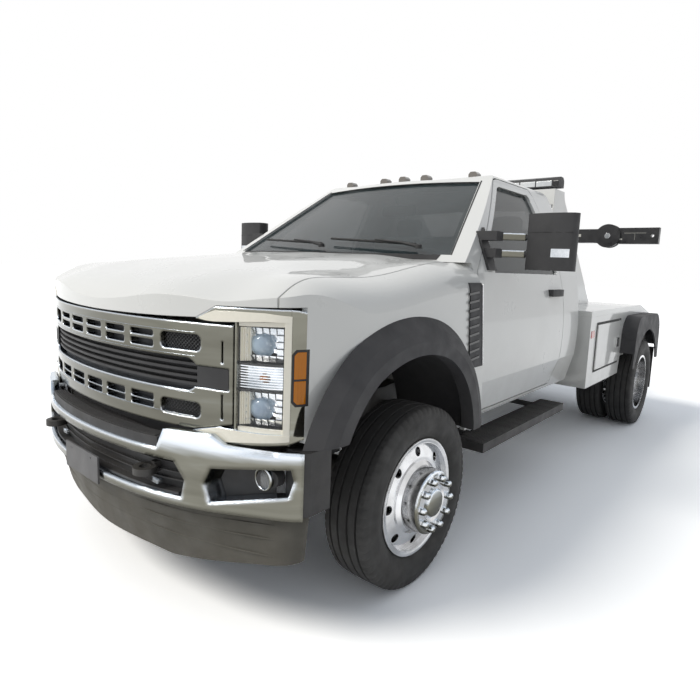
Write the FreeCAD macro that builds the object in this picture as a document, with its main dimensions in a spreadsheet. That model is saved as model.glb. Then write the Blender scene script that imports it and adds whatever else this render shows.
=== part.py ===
"""Tow truck: a regular cab chassis that carries a wheel lift body.

Millimetres. +Z is up, the front is -Y and the vehicle's left side is +X.
The origin is on the ground under the middle of the whole vehicle.
"""
import FreeCAD, Part
import math
import os
import Sketcher

from FreeCAD import Placement, Rotation, Vector

doc = FreeCAD.newDocument("tow_truck")

# Driving dimensions. Distances named _y are measured back from the front axle.
SIZES = (
    ("front_axle_y", -1795, "place of the front axle along the vehicle"),
    ("wheelbase", 3691, "front axle to rear axle"),
    ("panel_gap", 6, "gap between neighbouring body panels"),
    ("run_gap", 6, "clearance of a piece that moves past another"),
    ("pin_gap", 0.3, "radial clearance of a pin in its bore"),
    # wheels
    ("tyre_radius", 405, "outer radius of a tyre, and the axle height"),
    ("tyre_width", 226, "section width of a tyre"),
    ("bead_radius", 248, "radius of a rim's bead seat"),
    ("flange_height", 12, "rim flange above the bead seat"),
    ("rim_width", 171, "rim width between its flanges"),
    ("rim_wall", 9, "thickness of a rim's barrel"),
    ("disc_wall", 12, "thickness of a wheel's disc"),
    ("hub_radius", 138, "radius of the hub cover's face"),
    ("front_wheel_x", 950, "middle of a front tyre"),
    ("hub_face_x", 1125, "outer face of a front hub cover"),
    ("dual_outer_x", 1071, "middle of an outer rear tyre"),
    ("dual_spacing", 262, "spacing of the two rear tyres of a side"),
    ("hand_holes", 8, "hand holes in a wheel's disc"),
    ("hand_hole_radius", 20, "radius of a hand hole"),
    ("bore_radius", 27.5, "bore of a front wheel for its stub axle"),
    ("hub_bore_radius", 60, "bore of a rear wheel for its axle end"),
    ("lug_nuts", 10, "lug nuts on a hub"),
    ("kingpin_x", 835, "steering axis of a front wheel"),
    ("kingpin_radius", 19, "radius of a kingpin"),
    # frame
    ("rail_x", 432, "outer face of a frame rail"),
    ("rail_flange", 76, "width of a rail's flanges"),
    ("rail_wall", 9, "thickness of a rail's sheet"),
    ("rail_front_y", -740, "front end of the rails"),
    ("rail_rear_y", 4270, "rear end of the rails"),
    ("rail_front_z", 505, "underside of the rails at the front"),
    ("rail_rear_z", 610, "underside of the rails behind the cab"),
    ("rail_depth", 200, "height of a rail"),
    # cab
    ("cab_front_y", 548, "front face of the cab at the door pillars"),
    ("cab_rear_y", 2165, "rear wall of the cab"),
    ("cab_half", 1003, "half width of the cab at its widest"),
    ("belt_half", 958, "half width at the window line"),
    ("belt_z", 1392, "height of the window line"),
    ("crease_z", 815, "height of the lower crease of the doors"),
    ("sill_half", 948, "half width at the sill"),
    ("sill_z", 612, "underside of the cab's sides"),
    ("roof_half", 700, "half width at the roof rail"),
    ("rail_z", 1957, "height of the roof rail"),
    ("roof_z", 2038, "top of the roof"),
    ("door_wall", 88, "thickness of a door and of the pillars"),
    ("frame_wall", 46, "thickness round the windows"),
    ("glass_wall", 5, "thickness of a window"),
    ("glass_depth", 14, "how far the glass lies inside the outer skin"),
    ("floor_z", 800, "top of the cab's floor"),
    ("door_front_y", 560, "front edge of a door at the window line"),
    ("door_rear_y", 1832, "rear edge of a door"),
    ("door_low_y", 655, "front edge of a door at the sill"),
    ("sail_y", 800, "front edge of a door window"),
    # front end
    ("nose_y", -930, "foremost point of the grille"),
    ("front_half", 1012, "half width over the front wings"),
    ("hood_seam_x", 880, "seam between hood and wing"),
    ("hood_wall", 26, "thickness of the hood and the wings"),
    ("hood_rear_y", 392, "rear edge of the hood"),
    ("hood_lip_z", 1189, "front lip of the hood"),
    ("lamp_side_y", -640, "rear edge of a headlamp on the wing"),
    ("lamp_inner_x", 757, "inner edge of a headlamp beside the grille"),
    ("lamp_low_z", 740, "underside of a headlamp"),
    ("grille_low_z", 794, "underside of the grille"),
    ("arch_y", -40, "middle of the front wheel arch"),
    ("arch_z", 560, "height of the arch's centre"),
    ("arch_radius", 486, "radius of the front wheel arch"),
    ("flare_width", 152, "width of a wheel arch flare"),
    ("flare_half", 1080, "half width over the front flares"),
    ("bumper_front_y", -985, "foremost point of the bumper"),
    ("bumper_low_z", 508, "underside of the bumper"),
    ("bumper_high_z", 770, "top of the bumper's ends"),
    ("bumper_lip_z", 712, "top of the bumper's face in the middle"),
    ("bumper_depth", 75, "depth of the bumper's section"),
    ("bumper_end_y", -662, "rear ends of the bumper's bright part"),
    ("dam_low_z", 240, "underside of the air dam"),
    ("hook_x", 410, "place of a tow hook"),
    ("hook_z", 612, "height of a tow hook"),
    # running boards
    ("board_z", 489, "top of a running board"),
    ("board_half", 1036, "outer edge of a running board"),
    ("board_width", 165, "width of a running board"),
    ("board_front_y", 640, "front end of a running board"),
    ("board_rear_y", 1900, "rear end of a running board"),
    # tow body
    ("box_front_y", 2232, "front face of the tow body"),
    ("body_half", 1079, "half width of the tow body"),
    ("body_low_z", 548, "underside of the tool boxes"),
    ("deck_z", 1134, "top of the deck"),
    ("deck_rear_y", 3830, "rear edge of the deck's flat"),
    ("body_rear_y", 4250, "rear end of the tow body"),
    ("tail_z", 1040, "height of the deck at its tail"),
    ("box_inner_x", 600, "inner side of a tool box"),
    ("sheet", 12, "folded sheet of the tow body"),
    ("box_door_front_y", 2404, "front edge of a tool box door"),
    ("box_door_rear_y", 3100, "rear edge of a tool box door"),
    ("box_door_low_z", 665, "lower edge of a tool box door"),
    ("box_door_high_z", 1030, "upper edge of a tool box door"),
    ("box_door_wall", 24, "thickness of a tool box door"),
    ("rear_arch_radius", 478, "radius of a rear wheel arch"),
    ("rear_flare_half", 1200, "half width over the rear flares"),
    # pylon and light bar
    ("pylon_y", 2290, "front face of the pylon"),
    ("pylon_half", 705, "half width over the pylon's side plates"),
    ("pylon_top_z", 2055, "top of the pylon"),
    ("pylon_foot", 1130, "length of the pylon's foot on the deck"),
    ("pylon_head", 215, "length of the pylon's top"),
    ("bar_half", 712, "half length of the light bar"),
    ("bar_depth", 118, "depth of the light bar"),
    ("bar_height", 78, "height of the light bar"),
    # wheel lift
    ("lift_y", 4400, "hinge of the wheel lift"),
    ("lift_z", 560, "height of the wheel lift's hinge"),
    ("lift_pin_radius", 25, "radius of the wheel lift's hinge pin"),
    ("boom_size", 150, "outer size of the lift's outer tube"),
    ("boom_wall", 9, "wall of the lift's outer tube"),
    ("boom_top_z", 1480, "upper end of the lift's outer tube"),
    ("stinger_size", 120, "outer size of the sliding tube"),
    ("cross_y", 4500, "middle of the crossbar"),
    ("cross_z", 1840, "height of the crossbar"),
    ("cross_height", 150, "height of the crossbar's tube"),
    ("cross_depth", 110, "depth of the crossbar's tube"),
    ("claw_x", 553, "pivot of a claw"),
    ("claw_disc", 128, "radius of the plates round a claw's pivot"),
    ("claw_end_x", 1050, "outer end of a claw"),
    ("claw_height", 172, "height of a claw's arm"),
    ("claw_depth", 74, "depth of a claw's arm"),
    ("claw_pin_radius", 24, "radius of a claw's pin"),
    ("eye_radius", 16, "radius of a mounting hole"),
    ("anchor_y", 3700, "pin of the tilt cylinder on the frame"),
    ("anchor_z", 772, "height of the tilt cylinder's pin"),
    ("lug_y", 4200, "pin of the tilt cylinder's rod on the boom"),
    ("lug_z", 660, "height of the rod's pin on the boom"),
    ("cylinder_radius", 34, "outer radius of the tilt cylinder"),
    ("cylinder_rod", 19, "radius of the tilt cylinder's rod"),
    ("cylinder_pin", 15, "radius of the tilt cylinder's pins"),
)


class Size(float):
    """A number that also knows the sheet's expression for itself."""

    def __new__(cls, value, text):
        size = super().__new__(cls, value)
        size.text = text
        return size

    def __add__(self, other):
        return join(self, "+", other)

    def __radd__(self, other):
        return join(other, "+", self)

    def __sub__(self, other):
        return join(self, "-", other)

    def __rsub__(self, other):
        return join(other, "-", self)

    def __mul__(self, other):
        return join(self, "*", other)

    def __rmul__(self, other):
        return join(other, "*", self)

    def __truediv__(self, other):
        return join(self, "/", other)

    def __neg__(self):
        return join(0, "-", self)


def wording(value):
    """The expression text of a size or of a plain number."""
    return value.text if isinstance(value, Size) else format(value, ".9g")


def join(first, sign, second):
    """The sum, difference, product or quotient of two sizes."""
    left = float(first)
    right = float(second)
    value = {"+": left + right, "-": left - right, "*": left * right}.get(sign)
    if sign == "/":
        value = left / right
    return Size(value, "(" + wording(first) + " " + sign + " " + wording(second) + ")")


class Sizes:
    """The driving dimensions by name, read back from the sheet."""


def make_sheet():
    """Put the driving dimensions in a spreadsheet and read them back."""
    sheet = doc.addObject("Spreadsheet::Sheet", "Sizes")
    for row, (name, value, meaning) in enumerate(SIZES, start=1):
        sheet.set("A%d" % row, name)
        sheet.set("B%d" % row, str(value))
        sheet.set("C%d" % row, meaning)
        sheet.setAlias("B%d" % row, name)
    doc.recompute()
    sizes = Sizes()
    for name, _, _ in SIZES:
        setattr(sizes, name, Size(float(sheet.get(name)), "Sizes." + name))
    return sizes


S = make_sheet()
NODES = []


def back(distance):
    """The Y of a place that is given from the front axle."""
    return S.front_axle_y + distance


REAR_AXLE_Y = back(S.wheelbase)
AXLE_Z = S.tyre_radius


def bind(obj, name, value):
    """Bind a property to the sheet, or set it where it is a plain number."""
    if isinstance(value, Size):
        obj.setExpression(name, value.text)
    else:
        obj.setExpression(name, format(float(value), ".9g"))


def place(obj, where):
    """Bind an object's place to the sheet."""
    for axis, value in zip("xyz", where):
        bind(obj, "Placement.Base." + axis, value)


def node(label, obj):
    """Name an object as a sub-part, so that it is written to its own file."""
    obj.Label = label
    NODES.append(obj)
    return obj


def box(low, size):
    """A box from its low corner and its three lengths."""
    obj = doc.addObject("Part::Box", "box")
    for name, value in zip(("Length", "Width", "Height"), size):
        bind(obj, name, value)
    place(obj, low)
    return obj


def span(low, high):
    """A box between two corners."""
    return box(low, [top - bottom for bottom, top in zip(low, high)])


TURNS = {
    "x": Rotation(Vector(0, 1, 0), 90),
    "y": Rotation(Vector(1, 0, 0), -90),
    "z": Rotation(),
}


def rod(axis, radius, base, length):
    """A round bar that starts at base and runs along +axis."""
    obj = doc.addObject("Part::Cylinder", "rod")
    obj.Placement = Placement(Vector(), TURNS[axis])
    bind(obj, "Radius", radius)
    bind(obj, "Height", length)
    place(obj, base)
    return obj


def fuse(*pieces):
    """One solid of several."""
    obj = doc.addObject("Part::MultiFuse", "joined")
    obj.Shapes = list(pieces)
    return obj


def cut(base, *tools):
    """A solid with others taken away."""
    obj = doc.addObject("Part::Cut", "cut")
    obj.Base = base
    obj.Tool = tools[0] if len(tools) == 1 else fuse(*tools)
    return obj


def mirrored(piece):
    """The same piece on the vehicle's other side."""
    obj = doc.addObject("Part::Mirroring", "mirrored")
    obj.Source = piece
    obj.Normal = (1, 0, 0)
    return obj


def group(*pieces):
    """Separate solids that share a node."""
    obj = doc.addObject("Part::Compound", "group")
    obj.Links = list(pieces)
    return obj


def both_sides(piece):
    """A piece and its mirror image."""
    return group(piece, mirrored(piece))


def shaped(shape):
    """A document object for a shape made with Part's functions."""
    obj = doc.addObject("Part::Feature", "shaped")
    obj.Shape = shape
    obj.Placement = shape.Placement
    return obj


# Outlines. Each maps two numbers to a point of its plane.
def side_view(x):
    """Outline in side view: distance behind the front axle, and height."""
    return lambda distance, height: Vector(x, S.front_axle_y + distance, height)


def front_view(distance):
    """Outline in front view: X and height."""
    return lambda x, height: Vector(x, S.front_axle_y + distance, height)


def plan_view(height):
    """Outline in plan: X and distance behind the front axle."""
    return lambda x, distance: Vector(x, S.front_axle_y + distance, height)


def outline(at, start, *steps):
    """A closed wire: a pair is a line, two pairs an arc, a list a curve."""
    edges = []
    here = start
    for step in steps + (start,):
        if isinstance(step, list):
            curve = Part.BSplineCurve()
            curve.interpolate([at(*here)] + [at(*point) for point in step])
            edges.append(curve.toShape())
            here = step[-1]
        elif isinstance(step[0], tuple):
            via, end = step
            edges.append(Part.Arc(at(*here), at(*via), at(*end)).toShape())
            here = end
        elif at(*here).distanceToPoint(at(*step)) > 0.001:
            edges.append(Part.LineSegment(at(*here), at(*step)).toShape())
            here = step
    return Part.Wire(edges)


def prism_x(low, high, start, *steps):
    """A side view outline drawn out across the vehicle."""
    face = Part.Face(outline(side_view(low), start, *steps))
    return face.extrude(Vector(high - low, 0, 0))


def prism_y(low, high, start, *steps):
    """A front view outline drawn out along the vehicle."""
    face = Part.Face(outline(front_view(low), start, *steps))
    return face.extrude(Vector(0, high - low, 0))


def prism_z(low, high, start, *steps):
    """A plan outline drawn out upwards."""
    face = Part.Face(outline(plan_view(low), start, *steps))
    return face.extrude(Vector(0, 0, high - low))


def block(x, distance, height):
    """A box from three pairs of limits: X, distance and height."""
    low = Vector(x[0], S.front_axle_y + distance[0], height[0])
    return Part.makeBox(x[1] - x[0], distance[1] - distance[0], height[1] - height[0], low)


def flip(shape):
    """The mirror image of a shape across the vehicle's middle."""
    return shape.mirror(Vector(), Vector(1, 0, 0))


def pair(shape):
    """A shape and its mirror image as separate solids."""
    return Part.makeCompound([shape, flip(shape)])


def solids(shape, smallest=2000):
    """The shape's solids without the slivers that a cut leaves."""
    kept = [solid for solid in shape.Solids if solid.Volume > smallest]
    return kept[0] if len(kept) == 1 else Part.makeCompound(kept)


def origin_plane(body, role):
    """One of a body's own origin planes."""
    return next(plane for plane in body.Origin.OriginFeatures if plane.Role == role)


def draw(sketch, points):
    """Draw a closed polygon whose corners are bound to the sheet."""
    first = sketch.GeometryCount
    count = len(points)
    for number, point in enumerate(points):
        after = points[(number + 1) % count]
        start = Vector(float(point[0]), float(point[1]), 0)
        end = Vector(float(after[0]), float(after[1]), 0)
        sketch.addGeometry(Part.LineSegment(start, end), False)
    constraint = Sketcher.Constraint
    for number, point in enumerate(points):
        line = first + number
        following = first + (number + 1) % count
        sketch.addConstraint(constraint("Coincident", line, 2, following, 1))
        for kind, value in zip(("DistanceX", "DistanceY"), point):
            index = sketch.addConstraint(constraint(kind, -1, 1, line, 1, float(value)))
            if isinstance(value, Size):
                sketch.setExpression("Constraints[%d]" % index, value.text)


def sketch_on(body, role, offset=0):
    """An empty sketch on one of the body's origin planes."""
    sketch = body.newObject("Sketcher::SketchObject", "outline")
    sketch.AttachmentSupport = (origin_plane(body, role), "")
    sketch.MapMode = "FlatFace"
    if isinstance(offset, Size) or offset:
        sketch.AttachmentOffset = Placement(Vector(0, 0, float(offset)), Rotation())
        bind(sketch, "AttachmentOffset.Base.z", offset)
    return sketch


def padded(role, points, length, offset=0, holes=()):
    """A body whose pad runs along the plane's normal from offset."""
    body = doc.addObject("PartDesign::Body", "body")
    sketch = sketch_on(body, role, offset)
    draw(sketch, points)
    for hole in holes:
        draw(sketch, hole)
    pad = body.newObject("PartDesign::Pad", "pad")
    pad.Profile = sketch
    bind(pad, "Length", length)
    return body


def revolved(points, centre):
    """A body turned about the X axis through centre; points are (x, radius)."""
    body = doc.addObject("PartDesign::Body", "turned")
    sketch = sketch_on(body, "XY_Plane")
    draw(sketch, points)
    turn = body.newObject("PartDesign::Revolution", "revolution")
    turn.Profile = sketch
    turn.ReferenceAxis = (sketch, ["H_Axis"])
    turn.Angle = 360
    place(body, centre)
    return body


# Wheels
def tyre(middle, distance):
    """A tyre with its tread, shoulders and sidewalls, down to the beads."""
    half = S.tyre_width / 2
    foot = S.rim_width / 2 - 1
    seat = S.bead_radius + S.pin_gap
    top = S.tyre_radius
    side = [(foot, seat), (foot, seat + 14), (half, seat + 68), (half - 4, top - 30), (half - 22, top)]
    points = side + [(-x, radius) for x, radius in reversed(side)]
    return revolved(points, (middle, back(distance), AXLE_Z))


def barrel(middle, distance):
    """A rim's barrel with its flanges."""
    half = S.rim_width / 2
    seat = S.bead_radius
    flange = seat + S.flange_height
    edge = half + S.rim_wall
    side = [(half, seat), (half, flange), (edge, flange), (edge, seat - S.rim_wall)]
    points = side + [(-x, radius) for x, radius in reversed(side)]
    return revolved(points, (middle, back(distance), AXLE_Z))


def ring_of(count, circle, radius, x_from, length, distance):
    """Round bars or cutters on a circle about an axle."""
    pieces = []
    for number in range(int(count)):
        turn = 2 * math.pi * number / int(count)
        centre = (x_from, back(distance) + circle * math.cos(turn), AXLE_Z + circle * math.sin(turn))
        pieces.append(rod("x", radius, centre, length))
    return pieces


def axle_rod(distance, x_from, x_to, radius):
    """A round bar along an axle."""
    return Part.makeCylinder(radius, x_to - x_from, Vector(x_from, S.front_axle_y + distance, AXLE_Z), Vector(1, 0, 0))


def front_rim():
    """Front wheel: barrel, domed disc with hand holes, hub cover and nuts."""
    middle = S.front_wheel_x
    half = S.rim_width / 2
    wall = S.disc_wall
    reach = S.hub_face_x - middle
    edge = S.bead_radius - S.rim_wall + 2
    disc = revolved([
        (half - 16, edge), (half + 2, 176), (half + 2, S.bore_radius),
        (half + 2 - wall, S.bore_radius), (half + 2 - wall, 172), (half - 32, edge),
    ], (middle, back(0), AXLE_Z))
    holes = ring_of(S.hand_holes, 204, S.hand_hole_radius, middle + half - 110, 160, 0)
    cover = revolved([
        (half, S.bore_radius), (half, 164), (half + 16, S.hub_radius + 6),
        (reach - 8, S.hub_radius), (reach, S.hub_radius - 10), (reach, 82), (reach - 9, 74),
        (reach - 6, 0), (reach - 26, 0), (reach - 26, S.bore_radius),
    ], (middle, back(0), AXLE_Z))
    nuts = ring_of(S.lug_nuts, S.hub_radius - 30, 13, S.hub_face_x - 6, 26, 0)
    return fuse(barrel(middle, 0), cut(disc, *holes), cover, *nuts)


def rear_rims():
    """Twin rear wheels: the outer one is dished and shows the axle's hub."""
    outer = S.dual_outer_x
    inner = outer - S.dual_spacing
    seat = outer - S.dual_spacing / 2
    half = S.rim_width / 2
    wall = S.disc_wall
    reach = S.dual_spacing / 2
    edge = S.bead_radius - S.rim_wall + 2
    disc = [(-half + 22, edge), (-half - 20, 190), (-reach, 170), (-reach, S.hub_bore_radius),
            (wall - reach, S.hub_bore_radius), (wall - reach, 164), (-half - 6, 184), (-half + 40, edge)]
    outer_disc = revolved(disc, (outer, back(S.wheelbase), AXLE_Z))
    inner_disc = revolved([(-x, radius) for x, radius in disc], (inner, back(S.wheelbase), AXLE_Z))
    holes = ring_of(S.hand_holes, 206, S.hand_hole_radius, inner, S.dual_spacing, S.wheelbase)
    discs = cut(fuse(outer_disc, inner_disc), *holes)
    hub = revolved([
        (wall, S.hub_bore_radius), (wall, 124), (40, 112), (112, 96), (124, 84), (124, 0), (40, 0),
        (40, S.hub_bore_radius),
    ], (seat, back(S.wheelbase), AXLE_Z))
    nuts = ring_of(S.lug_nuts, 143, 13, seat + wall - 2, 34, S.wheelbase)
    return fuse(barrel(outer, S.wheelbase), barrel(inner, S.wheelbase), discs, hub, *nuts)


def wheels():
    """Tyres and rims; the rear wheels of a side are one body."""
    outer = S.dual_outer_x
    rear_tyres = group(tyre(outer, S.wheelbase), tyre(outer - S.dual_spacing, S.wheelbase))
    for name, piece in (("tyre_front", tyre(S.front_wheel_x, 0)), ("rim_front", front_rim()),
                        ("tyres_rear", rear_tyres), ("rims_rear", rear_rims())):
        node(name + "_left", piece)
        node(name + "_right", mirrored(piece))


# Frame, axles and drive line
def rail_side(inset):
    """Corners of a rail in side view, drawn inwards by inset."""
    low = S.rail_front_z + inset
    high = S.rail_rear_z + inset
    deep = S.rail_depth - 2 * inset
    return [
        (back(S.rail_front_y), low),
        (back(S.cab_front_y), low),
        (back(S.cab_front_y + 220), low + 25),
        (back(S.cab_rear_y - 140), low + 25),
        (back(S.cab_rear_y + 260), high),
        (back(S.rail_rear_y), high),
        (back(S.rail_rear_y), high + deep),
        (back(S.cab_rear_y + 260), high + deep),
        (back(S.cab_rear_y - 140), low + 25 + deep),
        (back(S.cab_front_y + 220), low + 25 + deep),
        (back(S.cab_front_y), low + deep),
        (back(S.rail_front_y), low + deep),
    ]


def frame():
    """Ladder frame of two channels with cross members between them."""
    channel = padded("YZ_Plane", rail_side(0), S.rail_flange, S.rail_x - S.rail_flange)
    hollow = padded("YZ_Plane", rail_side(S.rail_wall), S.rail_flange, S.rail_x - S.rail_flange - S.rail_wall)
    rail = cut(channel, hollow)
    members = []
    low = S.rail_front_z
    high = S.rail_rear_z
    inner = S.rail_x - S.rail_wall
    for distance, bottom, depth, height in (
        (S.rail_front_y + 20, low + 20, 70, 110),
        (S.cab_front_y - 60, low + 9, 90, 60),
        (S.cab_rear_y - 420, low + 130, 90, 70),
        (S.cab_rear_y + 180, high + 30, 90, 120),
        (S.wheelbase - 560, high + 30, 80, 120),
        (S.wheelbase - 120, high + 30, 80, 120),
    ):
        members.append(box((-inner, back(distance), bottom), (2 * inner, depth, height)))
    anchor = []
    width = S.cylinder_radius + S.run_gap
    for x in (-width - 14, width):
        anchor.append(box((x, back(S.wheelbase - 45), S.anchor_z - 40), (14, S.anchor_y - S.wheelbase + 75, 76)))
    anchor.append(rod("x", S.cylinder_pin, (-width - 20, back(S.anchor_y), S.anchor_z), 2 * width + 40))
    mounts = []
    top = low + 25 + S.rail_depth
    for side in (-1, 1):
        for distance in (S.cab_front_y + 380, S.cab_rear_y - 200):
            mounts.append(rod("z", 34, (side * (S.rail_x - S.rail_flange / 2), back(distance), top - 4),
                              S.floor_z - 40.3 - top + 4))
    node("chassis_frame", fuse(rail, mirrored(rail), *members, *anchor, *mounts))


def drive_line():
    """Engine and gearbox as plain blocks, radiator, tank and exhaust."""
    low = S.rail_front_z
    engine = span((-290, back(-420), low + 75), (290, back(440), 1130))
    gearbox = span((-150, back(440), low + 80), (150, back(1180), low + 230))
    mount_x = S.rail_x - S.rail_wall - 0.3
    mount = span((-mount_x, back(-45), low + 85), (mount_x, back(45), low + 140))
    member_top = low + 130.3
    core = span((-345, back(S.rail_front_y + 25), member_top), (345, back(S.rail_front_y + 85), 1120))
    node("engine_gearbox", group(fuse(engine, gearbox, mount), core))
    tank_top = S.rail_rear_z + 29.7
    tank = span((-325, back(S.cab_rear_y + 150), tank_top - 170), (-70, back(S.cab_rear_y + 800), tank_top))
    node("fuel_tank", tank)
    pipe_x = 230
    pipe_z = 435
    muffler = rod("y", 82, (pipe_x, back(1250), pipe_z), 600)
    pipe = rod("y", 31, (pipe_x, back(400), pipe_z), 2680)
    down = rod("z", 26, (pipe_x, back(440), pipe_z), low + 74.7 - pipe_z)
    hanger = span((pipe_x - 12, back(S.cab_rear_y + 200), pipe_z), (pipe_x + 12, back(S.cab_rear_y + 212), tank_top))
    node("exhaust", fuse(muffler, pipe, down, hanger))


def front_axle():
    """Beam axle with yokes round the knuckles, and coil springs."""
    pin = S.kingpin_x
    beam = shaped(axle_rod(0, -pin + 62, pin - 62, 58))
    pieces = [beam]
    for side in (-1, 1):
        for low, high in ((78, 112), (-112, -78)):
            ear = Part.makeCylinder(40, high - low, Vector(side * pin, S.front_axle_y, AXLE_Z + low))
            pieces.append(shaped(ear))
            pieces.append(shaped(block(sorted((side * (pin - 110), side * (pin - 20))), (-34, 34),
                                       (AXLE_Z + low, AXLE_Z + high))))
        pieces.append(shaped(block(sorted((side * (pin - 110), side * (pin - 62))), (-34, 34),
                                   (AXLE_Z - 112, AXLE_Z + 112))))
        pieces.append(rod("z", S.kingpin_radius, (side * pin, back(0), AXLE_Z - 116), 232))
    node("front_axle", fuse(*pieces))


def spring_pack(distance, reach, leaves, eye):
    """One side's leaf spring pack over an axle, with its frame hangers."""
    x = S.rail_x + 46
    sag = 46 * reach / 640
    top = AXLE_Z + 86 + 13 * (leaves - 1)
    steps = []
    for number in range(leaves):
        span_y = reach * (0.85 - 0.164 * number)
        steps += [(distance + span_y, top + 3 - 13 * number), (distance + span_y, top - 10 - 13 * number)]
    mirrored_steps = [(2 * distance - y, z) for y, z in reversed(steps)]
    ends = top + sag
    pack = prism_x(x - 38, x + 38, (distance - reach, ends), ((distance, top), (distance + reach, ends)),
                   (distance + reach, ends - 12), *steps, *mirrored_steps, (distance - reach, ends - 12))
    low = top - 10 - 13 * (leaves - 1)
    pad = block((x - 50, x + 50), (distance - 60, distance + 60), (AXLE_Z + 58.3, low + 8))
    hangers = [block((S.rail_x + 0.3, x + 38), (y - 35, y + 35), (ends - 12, ends + eye))
               for y in (distance - reach, distance + reach)]
    return solids(pack.fuse([pad] + hangers))


def rear_axle():
    """Rear axle with its differential, drive shaft and leaf springs."""
    end = S.dual_outer_x - 1.5 * S.dual_spacing - 8
    housing = revolved([
        (-end, 0), (-end, 58), (-170, 58), (-90, 128), (-30, 150), (30, 150), (90, 128), (170, 58),
        (end, 58), (end, 0),
    ], (0, REAR_AXLE_Y, AXLE_Z))
    stub = rod("x", S.hub_bore_radius - S.pin_gap, (end - 1, REAR_AXLE_Y, AXLE_Z),
               S.dual_outer_x - S.dual_spacing / 2 + 41 - S.pin_gap - end)
    nose = Part.makeCone(100, 55, 210, Vector(0, S.front_axle_y + S.wheelbase - 60, AXLE_Z + 20),
                         Vector(0, -1, 0))
    start = Vector(0, S.front_axle_y + S.wheelbase - 240, AXLE_Z + 22)
    finish = Vector(0, S.front_axle_y + 1184, S.rail_front_z + 130)
    shaft = Part.makeCylinder(40, (finish - start).Length, start, finish - start)
    node("rear_axle", fuse(housing, stub, mirrored(stub), shaped(nose), shaped(shaft)))
    front = spring_pack(0, 560, 3, 60)
    rear = spring_pack(S.wheelbase, 640, 5, 80)
    springs = [front, flip(front), rear, flip(rear)]
    node("leaf_springs", shaped(Part.makeCompound(springs)))


def knuckles():
    """Steering knuckles with their stub axles and brake discs."""
    pin = S.kingpin_x
    boss = Part.makeCylinder(44, 144, Vector(pin, S.front_axle_y, AXLE_Z - 72))
    web = axle_rod(0, pin + 18, pin + 66, 60)
    stub = axle_rod(0, pin + 60, S.hub_face_x - 30, S.bore_radius - S.pin_gap)
    disc = axle_rod(0, pin + 50, pin + 78, 178)
    caliper = block((pin + 30, pin + 98), (100, 180), (AXLE_Z - 66, AXLE_Z + 66))
    knuckle = boss.fuse([web, stub, disc, caliper])
    bore = Part.makeCylinder(S.kingpin_radius + S.pin_gap, 200, Vector(pin, S.front_axle_y, AXLE_Z - 100))
    yoke = Part.makeCylinder(84, 200, Vector(pin, S.front_axle_y, AXLE_Z - 100))
    room = yoke.cut(Part.makeCylinder(84, 144, Vector(pin, S.front_axle_y, AXLE_Z - 72)))
    knuckle = knuckle.cut(bore).cut(block((pin - 200, pin + 48), (-120, 120), (AXLE_Z + 72, AXLE_Z + 140)))
    knuckle = knuckle.cut(block((pin - 200, pin + 48), (-120, 120), (AXLE_Z - 140, AXLE_Z - 72)))
    knuckle = knuckle.cut(room.common(block((pin - 200, pin + 48), (-120, 120), (AXLE_Z - 140, AXLE_Z + 140))))
    knuckle = knuckle.removeSplitter()
    node("knuckle_left", shaped(knuckle))
    node("knuckle_right", shaped(flip(knuckle)))


# Cab
def cab_section(inset, low):
    """The cab's form in front view, drawn inwards by inset, down to low."""
    side = S.cab_half - inset
    belt = S.belt_half - inset
    sill = S.sill_half - inset
    roof = S.roof_half - inset
    rail = S.rail_z - inset
    top = S.roof_z - inset
    half = [
        (sill, S.sill_z + inset),
        (side - 3, S.crease_z),
        ((side, S.crease_z + 290), (belt, S.belt_z)),
        ((belt - 118, (S.belt_z + rail) / 2 + 8), (roof, rail)),
        ((roof - 24, rail + 38), (roof - 84, top - 24)),
    ]
    steps = [(sill, low)] + half + [((0, top), (-roof + 84, top - 24))]
    steps += [((-roof + 24, rail + 38), (-roof, rail)),
              ((-belt + 118, (S.belt_z + rail) / 2 + 8), (-belt, S.belt_z)),
              ((-side, S.crease_z + 290), (-side + 3, S.crease_z)),
              (-sill, S.sill_z + inset),
              (-sill, low)]
    return prism_y(S.cab_front_y - 400, S.cab_rear_y + 100, *steps)


def cab_volume(inset):
    """The cab's closed outer form, drawn inwards by inset."""
    low = S.sill_z + inset
    rear = S.cab_rear_y - inset
    profile = prism_x(-1200, 1200,
                      (S.cab_front_y + inset, low),
                      (S.cab_front_y + inset, 1440),
                      (S.cab_front_y - 300, 1440),
                      (S.cab_front_y - 300, S.roof_z + 100),
                      (1000, S.roof_z + 100),
                      (1195, S.roof_z - 52 - inset),
                      ((1430, S.roof_z - 8 - inset), (1720, S.roof_z - inset)),
                      ((1960, S.roof_z - 6 - inset), (rear - 40, S.roof_z - 34 - inset)),
                      ((rear - 8, S.roof_z - 60 - inset), (rear - 2, S.roof_z - 110 - inset)),
                      (rear, S.belt_z),
                      (rear - 14, low))
    return cab_section(inset, low).common(profile).common(screen_volume(inset))


def between_sides(grow):
    """What lies inboard of the doors and of the window frames."""
    lower = cab_section(S.door_wall + grow, 0).common(block((-1200, 1200), (0, 2600), (0, S.belt_z - 10)))
    upper = cab_section(S.frame_wall + grow, 0).common(block((-1200, 1200), (0, 2600), (S.belt_z - 50, 2200)))
    return lower.fuse(upper)


def screen_volume(inset):
    """Everything behind the bowed, raked windscreen."""
    rake = (1241 - 561) / (1959 - 1512)
    wires = []
    for height, bow in ((1400, 192), (2060, 201)):
        middle = 451 + (height - 1512) * rake + inset * 1.8
        edge = middle + bow
        wires.append(outline(plan_view(height), (-1100, edge), ((0, middle), (1100, edge)),
                             (1100, 2600), (-1100, 2600)))
    upper = Part.makeLoft(wires, True, True)
    lower = block((-1100, 1100), (0, 2600), (0, 1440))
    return upper.fuse(lower)


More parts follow.
